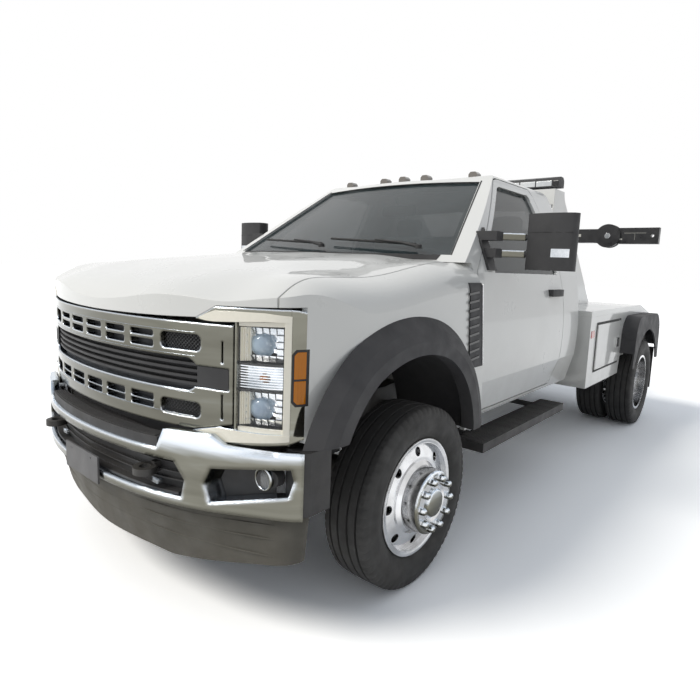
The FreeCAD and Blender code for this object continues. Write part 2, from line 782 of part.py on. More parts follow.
def door_prism(gap):
    """The doors' outline from the side, wider outside than inside."""
    low = S.sill_z + 30 - gap
    front = S.door_front_y - gap
    rear = S.door_rear_y + gap
    head = S.rail_z + 22 + gap
    wires = []
    for x in (S.cab_half + 20, S.roof_half - 120):
        slant = 0.3 * (S.cab_half + 20 - x)
        lean = 0.3 * (S.cab_half + 20 - S.roof_half)
        wires.append(outline(side_view(x),
                             (S.door_low_y - gap, low),
                             (S.door_low_y - 30 - gap, S.crease_z),
                             (front, S.belt_z - 40),
                             (front + 40 - gap * 0.4, S.belt_z + 12),
                             (1240 - gap * 1.1, head - 10),
                             (1290 - gap, head),
                             (rear - 36 + lean - slant, head),
                             (rear + lean - slant, head - 40),
                             (rear + 14 - slant, S.belt_z),
                             (rear - slant, S.crease_z),
                             (rear - 46 - slant, low)))
    return Part.makeLoft(wires, True, True)


def side_window(grow, x_from, x_to):
    """A door window's outline, drawn across the vehicle."""
    return prism_x(x_from, x_to,
                   (S.sail_y - grow, S.belt_z + 4 - grow),
                   (S.sail_y - grow, 1536),
                   (1225 - grow * 0.6, 1908 + grow),
                   ((1262, 1926 + grow), (1310, 1930 + grow)),
                   (1700, 1930 + grow),
                   ((1738 + grow * 0.7, 1926 + grow * 0.7), (1746 + grow, 1885)),
                   (1768 + grow, S.belt_z + 30),
                   ((1765 + grow * 0.7, S.belt_z + 8 - grow * 0.7), (1738, S.belt_z + 4 - grow)))


def screen_outline(grow, y_from, y_to, low, high, low_half, high_half):
    """A windscreen or rear window outline, drawn along the vehicle."""
    return prism_y(y_from, y_to,
                   (-low_half - grow, low - grow),
                   (low_half + grow, low - grow),
                   (high_half + grow, high - 14 + grow),
                   ((0, high + grow), (-high_half - grow, high - 14 + grow)))


def cab():
    """Cab shell, doors and glass, all cut from one form."""
    outer = cab_volume(0)
    belt = S.belt_z - 10
    lower_room = cab_volume(S.door_wall).common(block((-1200, 1200), (0, 2600), (0, belt)))
    upper_room = cab_volume(S.frame_wall).common(block((-1200, 1200), (0, 2600), (belt - 40, 2200)))
    floor = block((-1200, 1200), (0, 2600), (0, S.floor_z))
    skin = outer.cut(lower_room.fuse(upper_room).cut(floor))
    floor_cut = block((-S.sill_half + S.door_wall, S.sill_half - S.door_wall), (0, 2600),
                      (0, S.floor_z - 40))
    skin = skin.cut(floor_cut)
    left = block((0, 1300), (0, 2600), (0, 2300))
    door_room = door_prism(S.panel_gap).common(left).cut(between_sides(S.run_gap))
    skin_left = outer.cut(between_sides(0)).common(left)
    door = skin_left.common(door_prism(0)).cut(side_window(0, 500, 1300))
    shell = skin.cut(door_room).cut(flip(door_room))
    wing_room = block((S.front_half - S.hood_wall - S.pin_gap, 1300), (0, S.door_low_y + 5), (0, 1440))
    shell = shell.cut([wing_room, flip(wing_room)])
    gap_ring = door_prism(S.panel_gap + 1).cut(door_prism(S.pin_gap)).common(outer)
    for low_z in (880, 1200):
        plate = gap_ring.common(block((925, 975), (500, 660), (low_z, low_z + 70)))
        shell = shell.fuse([plate, flip(plate)])
    front_glass = (S.cab_front_y - 300, 1500)
    screen = (1478, 1968, 838, 628)
    rear = (1455, 1880, 700, 560)
    shell = shell.cut(screen_outline(0, *front_glass, *screen))
    shell = shell.cut(screen_outline(0, S.cab_rear_y - 200, S.cab_rear_y + 100, *rear))
    node("cab_shell", shaped(solids(shell)))
    node("door_left", shaped(solids(door)))
    node("door_right", shaped(flip(solids(door))))
    pane = cab_volume(S.glass_depth).cut(cab_volume(S.glass_depth + S.glass_wall))
    side = pane.common(side_window(-S.pin_gap, 500, 1300))
    node("door_left_glass", shaped(solids(side)))
    node("door_right_glass", shaped(flip(solids(side))))
    front = pane.common(screen_outline(-S.pin_gap, *front_glass, *screen))
    back_pane = pane.common(screen_outline(-S.pin_gap, S.cab_rear_y - 200, S.cab_rear_y + 100, *rear))
    node("cab_glass", shaped(Part.makeCompound([solids(front), solids(back_pane)])))


def ring(radius, thick, centre, axis):
    """A ring of hexagonal section about an axis."""
    corners = [Vector(radius + thick * math.cos(turn), 0, thick * math.sin(turn))
               for turn in (math.pi * number / 3 for number in range(7))]
    shape = Part.Face(Part.makePolygon(corners)).revolve(Vector(), Vector(0, 0, 1), 360)
    shape.Placement = Placement(centre, Rotation(Vector(0, 0, 1), axis))
    return shape


def cab_fittings():
    """Seat, dashboard, steering wheel, cowl, running boards and mirrors."""
    wide = S.sill_half - S.door_wall - 60
    cushion = prism_x(-wide, wide, (1330, S.floor_z + 150), (1310, S.floor_z + 330),
                      ((1330, S.floor_z + 372), (1390, S.floor_z + 372)),
                      (1860, S.floor_z + 340), (1880, S.floor_z + 150))
    backrest = prism_x(-720, 720, (1840, S.floor_z + 320), (1990, S.floor_z + 860),
                       ((2015, S.floor_z + 890), (2045, S.floor_z + 870)), (2030, S.floor_z + 320))
    base = block((-600, 600), (1400, 1800), (S.floor_z + S.pin_gap, S.floor_z + 150))
    heads = [block((x - 130, x + 130), (1995, 2062), (S.floor_z + 855, S.floor_z + 1030)) for x in (-450, 450)]
    seat = cushion.fuse([backrest, base] + heads)
    node("seat_bench", shaped(seat))
    wide = S.belt_half - S.door_wall - 20
    wall_y = S.cab_front_y + S.door_wall + S.pin_gap
    dash = prism_x(-wide, wide, (wall_y, 1090), (770, 1090), (900, 1150),
                   ((950, 1240), (925, 1320)), ((840, S.belt_z - 22), (wall_y, S.belt_z - 24)))
    column = Part.makeCylinder(32, 260, Vector(400, S.front_axle_y + 850, 1240), Vector(0, 0.86, 0.5))
    wheel = ring(185, 14, Vector(400, S.front_axle_y + 1065, 1365), Vector(0, 0.86, 0.5))
    hub = Part.makeCylinder(62, 40, Vector(400, S.front_axle_y + 1035, 1348), Vector(0, 0.86, 0.5))
    spokes = [Part.makeBox(340, 26, 18, Vector(230, S.front_axle_y + 1049, 1358))]
    node("dashboard", shaped(solids(dash.fuse([column, wheel, hub] + spokes))))
    near = S.hood_rear_y - 12 + S.panel_gap
    cowl = prism_z(1392, 1436, (-850, near), ((0, near - 58), (850, near)),
                   (850, S.cab_front_y - S.pin_gap), (-850, S.cab_front_y - S.pin_gap))
    arm = block((560, 600), (near - 110, near + 20), (1380, 1500)).common(front_volume(S.hood_wall + S.pin_gap))
    node("cowl_panel", shaped(solids(cowl.fuse([arm, flip(arm)]))))


def front_fittings():
    """Grille, lamps, bumper, air dam and tow hooks."""
    grille()
    lamp = front_plan(0).cut(front_plan(120)).common(headlamp_room(0)).cut(hood_edge(S.panel_gap))
    tab = block((900, 1012), (S.lamp_side_y - 8, S.lamp_side_y + S.panel_gap - S.pin_gap), (900, 1000))
    lamp = solids(lamp).fuse(tab.common(front_plan(4)))
    node("headlamps", shaped(pair(lamp)))
    high = S.bumper_high_z
    lip = S.bumper_lip_z
    low = S.bumper_low_z
    face = prism_y(-1200, S.bumper_end_y, (-1100, low), (1100, low), (1100, high - 20), (746, high - 7), (696, high + 25),
                   (511, high + 19), (478, lip), (-478, lip), (-511, high + 19), (-696, high + 25),
                   (-746, high - 7), (-1100, high - 20))
    bumper = bumper_plan(0).cut(bumper_plan(S.bumper_depth)).common(face)
    behind = front_plan(-10).common(block((-1100, 1100), (-1100, 0), (S.lamp_low_z - 5, 900)))
    mouth = prism_y(-1200, -600, (-587, low + 33), (587, low + 33), (600, low + 102), (555, low + 168),
                    (-555, low + 168), (-600, low + 102))
    fog = prism_y(-1100, -500, (689, low + 34), (950, low + 88), (964, low + 148), (955, low + 188),
                  (695, low + 162), (669, low + 101))
    bumper = bumper.cut([behind, mouth, fog, flip(fog)])
    arm = block((S.rail_x - 40, S.rail_x), (S.bumper_front_y + S.bumper_depth + 16, S.rail_front_y - S.pin_gap),
                (low + 4, low + 56))
    bumper = bumper.fuse([arm, flip(arm)])
    node("front_bumper", shaped(solids(bumper)))
    edge = prism_y(-1100, -620, (-1010, S.dam_low_z + 105), (-435, S.dam_low_z), (435, S.dam_low_z),
                   (1010, S.dam_low_z + 105), (1010, low), (-1010, low))
    node("air_dam", shaped(solids(dam_form(0).cut(dam_form(22)).common(edge))))
    hooks = []
    for side in (-1, 1):
        shank = block(sorted((side * (S.hook_x - 14), side * (S.hook_x + 14))), (-900, S.rail_front_y - 0.3),
                      (S.hook_z - 20, S.hook_z + 22))
        centre = Vector(side * S.hook_x, S.front_axle_y - 932, S.hook_z - 14)
        eye = Part.makeCylinder(44, 26, centre).fuse(shank)
        hooks.append(eye.cut(Part.makeCylinder(21, 80, centre - Vector(0, 0, 20))))
    node("tow_hooks", shaped(Part.makeCompound(hooks)))
    node("plate_bracket", shaped(plate_bracket()))
    bumper_trim()


def bumper_trim():
    """Step pad, the bumper's black ends, and the lamps behind its mouths."""
    pad = bumper_plan(12).common(block((-470, 470), (-1000, S.nose_y + 50),
                                       (S.bumper_lip_z + S.pin_gap, S.bumper_lip_z + 36)))
    end = bumper_plan(5).cut(bumper_plan(62))
    end = end.common(block((700, 1100), (S.bumper_end_y + S.pin_gap, S.bumper_end_y + 128),
                           (S.bumper_low_z + 12, S.bumper_high_z - 16)))
    node("bumper_trim", shaped(Part.makeCompound([solids(pad), solids(end), flip(solids(end))])))
    depth = S.bumper_depth + 0.5
    back_plate = bumper_plan(depth).cut(bumper_plan(depth + 12))
    back_plate = back_plate.common(block((655, 935), (-1000, S.bumper_end_y - 6),
                                         (S.bumper_low_z + 20, S.bumper_low_z + 200)))
    lamp = Part.makeCylinder(36, 120, Vector(868, S.front_axle_y - 790, S.bumper_low_z + 138), Vector(0, 1, 0))
    lamp = lamp.common(bumper_plan(20)).cut(bumper_plan(depth + 6))
    fog = solids(back_plate.fuse(lamp))
    tail = block((770, 1020), (S.body_rear_y + S.pin_gap, S.body_rear_y + 26), (872, 984))
    node("road_lamps", shaped(Part.makeCompound([fog, flip(fog), tail, flip(tail)])))


def plate_bracket():
    """Blank number plate bracket with its two screw holes."""
    low = S.bumper_low_z - 20
    rear = S.bumper_front_y - S.pin_gap
    plate = block((-150, 150), (rear - 8, rear), (low, low + 112))
    foot = block((-140, 140), (rear - 1, rear + 60), (S.bumper_low_z + 4, S.bumper_low_z + 30))
    foot = foot.cut(bumper_plan(-S.pin_gap))
    holes = [Part.makeCylinder(3.5, 60, Vector(x, S.front_axle_y + rear - 30, low + 94), Vector(0, 1, 0))
             for x in (-89, 89)]
    return plate.fuse(foot.Solids).cut(holes)


# Plans from the middle outwards: share of front_half, distance behind the
# foremost point, and the direction in which an inner skin lies.
FRONT_ROWS = ((0, 0, 0, 1), (0.168, 7, -0.08, 1), (0.336, 27, -0.16, 0.99), (0.494, 60, -0.24, 0.97),
              (0.618, 98, -0.30, 0.95), (0.741, 139, -0.37, 0.93), (0.852, 192, -0.50, 0.86),
              (0.913, 240, -0.77, 0.64), (0.947, 305, -0.94, 0.34), (0.990, 460, -0.99, 0.14), (1, 600, -1, 0))
BUMPER_ROWS = ((0, 0, 0, 1), (0.346, 30, -0.17, 0.98), (0.553, 85, -0.33, 0.94), (0.741, 170, -0.45, 0.89),
               (0.870, 245, -0.51, 0.86), (0.949, 295, -0.65, 0.76), (0.991, 345, -1, 0.5))
LIP_ROWS = ((0, 100, 0, 1), (0.346, 139, -0.13, 0.99), (0.520, 170, -0.23, 0.97), (0.700, 222, -0.30, 0.95),
            (0.830, 262, -0.35, 0.94), (0.900, 285, -0.60, 0.80), (0.940, 330, -1, 0.5))


def plan_steps(rows, front, inset, rear):
    """The steps of a symmetric plan whose front is a curve through rows."""
    half = [(S.front_half * share + inset * aside, front + deep + inset * behind)
            for share, deep, aside, behind in rows]
    whole = [(-x, distance) for x, distance in reversed(half[1:])] + half
    return (whole[0][0], rear), whole[0], whole[1:], (whole[-1][0], rear)


def bumper_plan(inset):
    """The bumper's form in plan, drawn inwards by inset."""
    return prism_z(0, 1000, *plan_steps(BUMPER_ROWS, S.bumper_front_y, inset, -500))


def front_plan(inset):
    """The front end's form in plan, drawn inwards by inset."""
    return prism_z(600, 1700, *plan_steps(FRONT_ROWS, S.nose_y, inset, 700))


def front_layer(first, last, x, height):
    """A piece of the front end's skin between two depths."""
    return front_plan(first).cut(front_plan(last)).common(block(x, (-1100, -400), height))


def dam_form(inset):
    """The air dam's form, which falls back to its lower lip."""
    wires = []
    for height, rows, more in ((S.bumper_low_z - S.pin_gap, BUMPER_ROWS, 25), (S.dam_low_z, LIP_ROWS, 0)):
        wires.append(outline(plan_view(height), *plan_steps(rows, S.bumper_front_y, inset + more, -560)))
    return Part.makeLoft(wires, True, True)


def hood_edge(drop):
    """Everything above the hood's lower edge, lowered by drop."""
    lip = S.hood_lip_z - drop
    return prism_x(-1200, 1200, (-1000, lip - 8), (-838, lip + 14), (-812, lip + 60), (-700, lip + 66),
                   (S.hood_rear_y - 20, lip + 101), (S.hood_rear_y, 1600), (-1000, 1600))


def headlamp_room(gap):
    """Where the left headlamp sits: a C round the end of the grille."""
    inner = S.lamp_inner_x - gap
    low = S.lamp_low_z - gap
    return prism_y(-1000, S.lamp_side_y + gap,
                   (inner - 171, low + 45 + 2 * gap),
                   (inner - 126, low),
                   (S.front_half, low + 43),
                   (S.front_half, 1300),
                   (inner - 159, 1300),
                   (inner - 159, S.hood_lip_z + 7 - gap),
                   (inner, S.hood_lip_z + 1 - gap),
                   (inner, low + 86 + 2 * gap))


def rounded(x, height, corner):
    """A hole with round corners through the front end."""
    left, right = x
    low, high = height
    nip = corner * 0.293
    return prism_y(-1000, -560, (left + corner, low), (right - corner, low),
                   ((right - nip, low + nip), (right, low + corner)), (right, high - corner),
                   ((right - nip, high - nip), (right - corner, high)), (left + corner, high),
                   ((left + nip, high - nip), (left, high - corner)), (left, low + corner),
                   ((left + nip, low + nip), (left + corner, low)))


def grille():
    """Bright grille panel with its windows, and the dark slats behind it."""
    half = S.lamp_inner_x - S.panel_gap
    low = S.grille_low_z
    high = S.hood_lip_z - S.panel_gap
    panel = front_layer(0, 34, (-half, half), (low, high))
    lamp = headlamp_room(S.panel_gap)
    holes = [lamp, flip(lamp), rounded((-612, 612), (low + 139, low + 259), 50)]
    for bottom, top in ((48, 72), (76, 102), (282, 309), (322, 345)):
        for number in range(-2, 3):
            x = number * 170
            holes.append(rounded((x - 66, x + 66), (low + bottom, low + top), 8))
    for bottom, top in ((41, 98), (286, 346)):
        insert = rounded((441, 624), (low + bottom, low + top), 22)
        holes += [insert, flip(insert)]
    for bottom, top in ((50, 142), (252, 332)):
        slot = rounded((706, 716), (low + bottom, low + top), 4)
        holes += [slot, flip(slot)]
    recess = rounded((590, half - 12), (low + 156, low + 236), 6)
    holes += [recess, flip(recess)]
    node("grille", shaped(solids(panel.cut(holes))))
    depth = 34 + S.pin_gap
    behind = front_layer(depth, depth + 8, (8 - half, half - 8), (low + 34, high - 30))
    pieces = []
    for number in range(1, 5):
        middle = low + 139 + 24 * number
        pieces.append(front_layer(10, depth + 6, (-600, 600), (middle - 5, middle + 5)))
    for side in (-1, 1):
        pieces.append(front_layer(2, depth + 6, sorted((side * 608, side * (half - 16))), (low + 158, low + 234)))
        pieces.append(block(sorted((side * 280, side * 320)), (S.nose_y + 60, S.rail_front_y + 25 - S.pin_gap),
                            (low + 90, low + 120)))
    node("grille_mesh", shaped(solids(behind.fuse(pieces).cut([lamp, flip(lamp)]))))


def hood_section(inset, crown, seam, shoulder):
    """Front view of the front end at one station, from wing to wing."""
    side = S.front_half - inset
    half = [(side, shoulder), (side - 38, shoulder + 0.62 * (seam - shoulder)), (S.hood_seam_x, seam),
            (720, seam + 0.30 * (crown - seam)), (590, seam + 0.62 * (crown - seam)),
            (470, seam + 0.86 * (crown - seam)), (240, crown - 4), (0, crown)]
    half = [(x, z - inset) for x, z in half]
    half[0] = (side, shoulder)
    return half[:-1] + [half[-1]] + [(-x, z) for x, z in reversed(half[:-1])]


def front_volume(inset):
    """The front end's closed form under its hood and wings."""
    wires = []
    for distance, crown, seam, shoulder in (
        (-960, 1150, 1030, 960),
        (-890, 1284, 1150, 1040),
        (-836, 1318, 1212, 1080),
        (-740, 1347, 1278, 1148),
        (-650, 1368, 1328, 1195),
        (-400, 1406, 1358, 1225),
        (0, 1444, 1390, 1262),
        (350, 1474, 1436, 1300),
        (720, 1500, 1486, 1340),
    ):
        points = hood_section(inset, crown, seam, shoulder)
        side = points[0][0]
        wires.append(outline(front_view(distance), (-side, 560), (side, 560), points[0], points[1:]))
    loft = Part.makeLoft(wires, True, False)
    return loft.common(front_plan(inset))


# The front arch in polar form: degrees behind the vertical, share of the radius.
ARCH_FORM = ((-93, 1.12), (-66, 1.113), (-38, 1.09), (-12, 1.022), (12, 1.0), (36, 0.995), (58, 0.977), (72, 0.966),
             (84, 0.957))


def arch_outline(x, grow, low=300):
    """The front wheel arch in side view, widened by grow."""
    points = []
    for degrees, share in ARCH_FORM:
        turn = math.radians(degrees)
        reach = S.arch_radius * share + grow * (1 + 0.2 * max(degrees, 0) / 84)
        points.append((S.arch_y + reach * math.sin(turn), S.arch_z + reach * math.cos(turn)))
    arcs = [(points[number], points[number + 1]) for number in (1, 3, 5, 7)]
    return outline(side_view(x), (points[0][0], low), points[0], *arcs, (points[-1][0], low))


def arch_prism(grow, x_from, x_to):
    """The front wheel arch drawn across the vehicle's left side."""
    return Part.Face(arch_outline(x_from, grow)).extrude(Vector(x_to - x_from, 0, 0))


def hood_plan(gap):
    """The hood's outline in plan, drawn inwards by gap."""
    side = S.hood_seam_x - gap
    rear = S.hood_rear_y - 9 - gap
    return prism_z(1000, 1700, (-side, rear), (-side, -560), ((-side - 14, -690), (-side - 40, -1000)),
                   (side + 40, -1000), ((side + 14, -690), (side, -560)), (side, rear), ((0, rear - 58), (-side, rear)))


def wings_and_hood():
    """Hood and front wings, cut from one shell at their seams."""
    outer = front_volume(0)
    inner = front_volume(S.hood_wall)
    shell = outer.cut(inner)
    seam = S.hood_seam_x
    gap = S.panel_gap / 2
    hood = shell.common(hood_edge(0)).common(hood_plan(gap))
    node("hood", shaped(solids(hood)))
    side_room = block((seam + gap, 1300), (S.lamp_side_y + S.panel_gap, S.cab_front_y - S.panel_gap), (600, 1700))
    over_lamp = block((seam + gap, 1300), (-1000, S.lamp_side_y + S.panel_gap + 1), (600, 1700)).common(hood_edge(0))
    wing = shell.common(side_room.fuse(over_lamp)).cut(hood_plan(-gap))
    wing = wing.cut(block((0, 1300), (-1000, S.arch_y), (0, S.bumper_high_z + 8)))
    arch = arch_prism(27 + S.pin_gap, 600, 1300)
    wing = wing.cut(arch)
    rear_edge = prism_x(700, 1300, (S.door_low_y - 12 - S.panel_gap, S.sill_z),
                        (S.door_low_y - 30 - S.panel_gap, S.crease_z),
                        (S.door_front_y - 12 - S.panel_gap, S.belt_z - 40),
                        (S.door_front_y - 12 - S.panel_gap, 1700), (1200, 1700), (1200, S.sill_z - 50))
    low_wing = outer_wing_extension()
    wing = wing.fuse(low_wing).cut(rear_edge)
    wing = wing.cut(arch).cut(cab_volume(-S.panel_gap).common(block((0, 1300), (0, 1200), (1300, 2000))))
    node("front_wings", shaped(pair(solids(wing))))


def outer_wing_extension():
    """The wing's skin behind the wheel, down to the sill and to the door."""
    return block((S.front_half - S.hood_wall, S.front_half), (S.arch_y + 200, S.door_low_y), (S.sill_z + 20, 1240))


def flares():
    """Front wheel arch flares with sloping facets, and the arches' liners."""
    wide = S.flare_width
    wires = [
        arch_outline(S.front_half + 0.3, wide),
        arch_outline(S.flare_half - 20, wide * 0.68),
        arch_outline(S.flare_half, wide * 0.36),
    ]
    body = Part.makeLoft(wires, True, True).cut(arch_prism(0, 600, 1300))
    ends = block((0, 2000), (-1200, S.arch_y), (S.bumper_high_z + 12, 2000))
    ends = ends.fuse(block((0, 2000), (S.arch_y - 1, 1200), (S.sill_z + 12, 2000)))
    vent = prism_x(900, 1300, (S.door_front_y - 108, 918), (S.door_front_y + 34, 918), (S.door_front_y - 30, 1344),
                   (S.door_front_y - 152, 1344))
    vent = solids(vent.common(front_volume(-7)).cut(front_volume(-S.pin_gap)))
    flare = solids(body.common(ends))
    node("front_flares", shaped(Part.makeCompound([flare, vent, flip(flare), flip(vent)])))
    inner = 606
    skin = S.front_half - 3
    liner = arch_prism(27, inner, skin).cut(arch_prism(19, inner - 1, skin + 1))
    liner = liner.common(block((0, 2000), (S.arch_y - 515, S.door_low_y - 60), (S.bumper_high_z - 150, 2000)))
    node("wheel_liners", shaped(pair(solids(liner))))


# Tow body
def tow_body_shape():
    """Folded deck with a hollow tool box on each side and wheel arches."""
    half = S.body_half
    front = S.box_front_y
    low = S.body_low_z
    top = S.deck_z
    wall = S.sheet
    arch = S.rear_arch_radius
    body = prism_x(-half, half, (front, low), (front, top), (S.deck_rear_y, top), (S.body_rear_y, S.tail_z),
                   (S.body_rear_y, S.tail_z - 190), (S.wheelbase + arch + 46, 700), (S.wheelbase + arch, 700),
                   (S.wheelbase - arch - 20, 700),
                   (S.wheelbase - arch - 50, low))
    under = prism_x(-S.box_inner_x, S.box_inner_x, (front - 1, 0), (front - 1, top - 42), (S.deck_rear_y, top - 42),
                    (S.body_rear_y - 12, S.tail_z - 42), (S.body_rear_y - 12, 0))
    tail = block((-S.box_inner_x, S.box_inner_x), (S.body_rear_y - 13, S.body_rear_y + 50), (0, S.tail_z - 180))
    body = body.cut([under, tail])
    arch_room = prism_x(S.box_inner_x - 1, half + 10, (S.wheelbase - arch, 300), (S.wheelbase - arch, AXLE_Z),
                        ((S.wheelbase, AXLE_Z + arch), (S.wheelbase + arch, AXLE_Z)), (S.wheelbase + arch, 300))
    body = body.cut([arch_room, flip(arch_room)])
    rear = S.wheelbase - arch - 50
    room = block((S.box_inner_x + wall, half - wall), (front + wall, rear - wall), (low + wall, top - 42))
    mouth = block((half - wall - 1, half + 1), (S.box_door_front_y, S.box_door_rear_y),
                  (S.box_door_low_z, S.box_door_high_z))
    over = prism_x(S.box_inner_x + wall, half - wall, (rear + 8, 905), (rear + 8, top - 42),
                   (S.deck_rear_y, top - 42), (S.body_rear_y - 20, S.tail_z - 42), (S.body_rear_y - 20, 905))
    body = body.cut([room, flip(room), mouth, flip(mouth), over, flip(over)])
    runner = prism_x(S.rail_x - 62, S.rail_x - 12, (S.box_front_y + 200, S.rail_rear_z + S.rail_depth + S.pin_gap),
                     (S.box_front_y + 200, top - 40), (S.deck_rear_y, top - 40), (S.body_rear_y - 30, S.tail_z - 40),
                     (S.body_rear_y - 30, S.rail_rear_z + S.rail_depth + S.pin_gap))
    under_deck = block((-half - 1, half + 1), (front - 2, rear), (0, top - 42 - S.pin_gap))
    boxes = body.common(under_deck)
    cleared = block((-half - 1, half + 1), (front - 2, rear + S.pin_gap), (0, top - 42))
    return solids(body.cut(cleared).fuse([runner, flip(runner)])), solids(boxes)


def tow_body():
    """Deck, tool boxes, their doors, flares and mud flaps."""
    deck, boxes = tow_body_shape()
    node("tow_body", shaped(deck))
    node("tool_boxes", shaped(boxes))
    gap = S.panel_gap
    face = S.body_half + 6
    door = span((face - S.box_door_wall, back(S.box_door_front_y + gap), S.box_door_low_z + gap),
                (face, back(S.box_door_rear_y - gap), S.box_door_high_z - gap))
    latch = span((face - 4, back(S.box_door_rear_y - 130), S.box_door_low_z + 130),
                 (face + 9, back(S.box_door_rear_y - 40), S.box_door_low_z + 220))
    hinge = rod("z", 6, (S.body_half + 6 + S.pin_gap, back(S.box_door_front_y + 1), S.box_door_low_z + 10),
                S.box_door_high_z - S.box_door_low_z - 20)
    whole = fuse(door, latch, hinge)
    node("box_door_left", whole)
    node("box_door_right", mirrored(whole))
    arch = S.rear_arch_radius
    outer = prism_x(S.body_half + 0.3, S.rear_flare_half, (S.wheelbase - 524, 600), (S.wheelbase - 500, 850),
                    ((S.wheelbase - 462, 985), (S.wheelbase - 340, 1055)), (S.wheelbase + 300, 1055),
                    ((S.wheelbase + 440, 985), (S.wheelbase + 500, 850)), (S.wheelbase + 524, 600))
    room = prism_x(600, 1300, (S.wheelbase - arch, 300), (S.wheelbase - arch, AXLE_Z + 120),
                   ((S.wheelbase, AXLE_Z + arch + 34), (S.wheelbase + arch, AXLE_Z + 120)), (S.wheelbase + arch, 300))
    hollow = prism_x(S.body_half - 1, S.rear_flare_half - 14, (S.wheelbase - 560, 500), (S.wheelbase - 486, 850),
                     ((S.wheelbase - 448, 972), (S.wheelbase - 334, 1041)), (S.wheelbase + 294, 1041),
                     ((S.wheelbase + 426, 972), (S.wheelbase + 486, 850)), (S.wheelbase + 560, 500))
    flare = outer.cut(room).cut(hollow)
    node("rear_flares", shaped(pair(solids(flare))))
    flap = block((S.dual_outer_x - S.dual_spacing - 100, S.rear_flare_half - 30),
                 (S.wheelbase + arch + 8, S.wheelbase + arch + 18), (280, 700 - S.pin_gap))
    node("mud_flaps", shaped(pair(flap)))


def pylon():
    """Pylon behind the cab: two plates, a rear panel and the light bar."""
    head_y = S.pylon_y + S.pylon_head
    plate = prism_x(S.pylon_half - 10, S.pylon_half, (S.pylon_y, S.deck_z + 0.3),
                    (S.pylon_y, S.pylon_top_z), (head_y, S.pylon_top_z), (head_y + 20, S.pylon_top_z - 60),
                    (S.pylon_y + S.pylon_foot, S.deck_z + 30), (S.pylon_y + S.pylon_foot, S.deck_z + 0.3))
    cross = block((-S.pylon_half, S.pylon_half), (S.pylon_y, head_y), (S.pylon_top_z - 120, S.pylon_top_z))
    room = block((-S.pylon_half + 10, S.pylon_half - 10), (S.pylon_y + 10, head_y - 10),
                 (S.pylon_top_z - 110, S.pylon_top_z - 10))
    web = block((-S.pylon_half, S.pylon_half), (S.pylon_y, S.pylon_y + 8), (S.deck_z + 0.3, S.deck_z + 260))
    whole = plate.fuse([flip(plate), cross.cut(room), web])
    node("pylon", shaped(solids(whole)))
    middle = S.pylon_y + S.pylon_head / 2
    feet = [block((x - 40, x + 40), (middle - 40, middle + 40), (S.pylon_top_z + 0.3, S.pylon_top_z + 22))
            for x in (-480, 480)]
    bar = prism_x(-S.bar_half, S.bar_half, (middle - S.bar_depth / 2, S.pylon_top_z + 22),
                  (middle - S.bar_depth / 2, S.pylon_top_z + 22 + S.bar_height * 0.6),
                  ((middle - S.bar_depth / 3, S.pylon_top_z + 22 + S.bar_height * 0.95),
                   (middle, S.pylon_top_z + 22 + S.bar_height)),
                  ((middle + S.bar_depth / 3, S.pylon_top_z + 22 + S.bar_height * 0.95),
                   (middle + S.bar_depth / 2, S.pylon_top_z + 22 + S.bar_height * 0.6)),
                  (middle + S.bar_depth / 2, S.pylon_top_z + 22))
    node("light_bar", shaped(bar.fuse(feet)))


def marker_lamps():
    """Roof marker lamps."""
    lamps = []
    for number in range(-2, 3):
        x = number * 174 if abs(number) < 2 else number * 261.5
        y = 1240 + 14 * abs(number) ** 1.7
        lamps.append(prism_y(y, y + 58, (x - 30, S.roof_z - 60), (x + 30, S.roof_z - 60), (x + 30, S.roof_z - 12),
                             (x + 17, S.roof_z + 2), (x - 17, S.roof_z + 2), (x - 30, S.roof_z - 12)))
    roof = cab_volume(-S.pin_gap)
    lamps = [lamp.cut(roof) for lamp in lamps]
    node("roof_lamps", shaped(Part.makeCompound([solids(lamp, 100) for lamp in lamps])))


def running_boards():
    """Running boards on brackets under the cab's sides."""
    board = span((S.board_half - S.board_width, back(S.board_front_y), S.board_z - 52),
                 (S.board_half, back(S.board_rear_y), S.board_z))
    brackets = [span((S.rail_x + 0.3, back(y), S.board_z - 30), (S.board_half - 40, back(y) + 60, S.board_z - 6))
                for y in (S.board_front_y + 120, S.board_rear_y - 180)]
    hangers = [span((S.rail_x + 0.3, back(y), S.board_z - 30), (S.rail_x + 12, back(y) + 60, S.rail_front_z + 120))
               for y in (S.board_front_y + 120, S.board_rear_y - 180)]
    node("running_boards", both_sides(fuse(board, *brackets, *hangers)))


def mirrors():
    """Tow mirrors on two arms each, carried by the doors, and the handles."""
    head = prism_z(1418, 1712, (1092, 868), ((1200, 846), (1320, 868)), ((1340, 900), (1330, 930)),
                   (1320, 956), (1100, 962), ((1080, 915), (1092, 868)))
    sail = prism_x(700, 1100, (S.sail_y - 96, S.belt_z + 16), (S.sail_y - 6, S.belt_z + 16),
                   (S.sail_y - 6, 1640), (S.sail_y - 96, 1562)).common(cab_volume(-14))
    blocks = [block((870, 990), (S.sail_y - 88, S.sail_y - 10), (height - 24, height + 24)) for height in (1500, 1590)]
    arms = [Part.makeCylinder(14, 260, Vector(890, S.front_axle_y + S.sail_y - 55, height), Vector(0.9, 0.62, 0))
            for height in (1500, 1590)]
    mirror = head.fuse(arms + blocks + [sail]).cut(cab_volume(-S.pin_gap))
    mirror = solids(mirror)
    node("mirror_left", shaped(mirror))
    node("mirror_right", shaped(flip(mirror)))
    handle = prism_z(1254, 1298, (940, S.door_rear_y - 272), (1012, S.door_rear_y - 262),
                     ((1026, S.door_rear_y - 160), (1010, S.door_rear_y - 56)), (940, S.door_rear_y - 46))
    handle = solids(handle.cut(cab_volume(-S.pin_gap)))
    node("door_handle_left", shaped(handle))
    node("door_handle_right", shaped(flip(handle)))


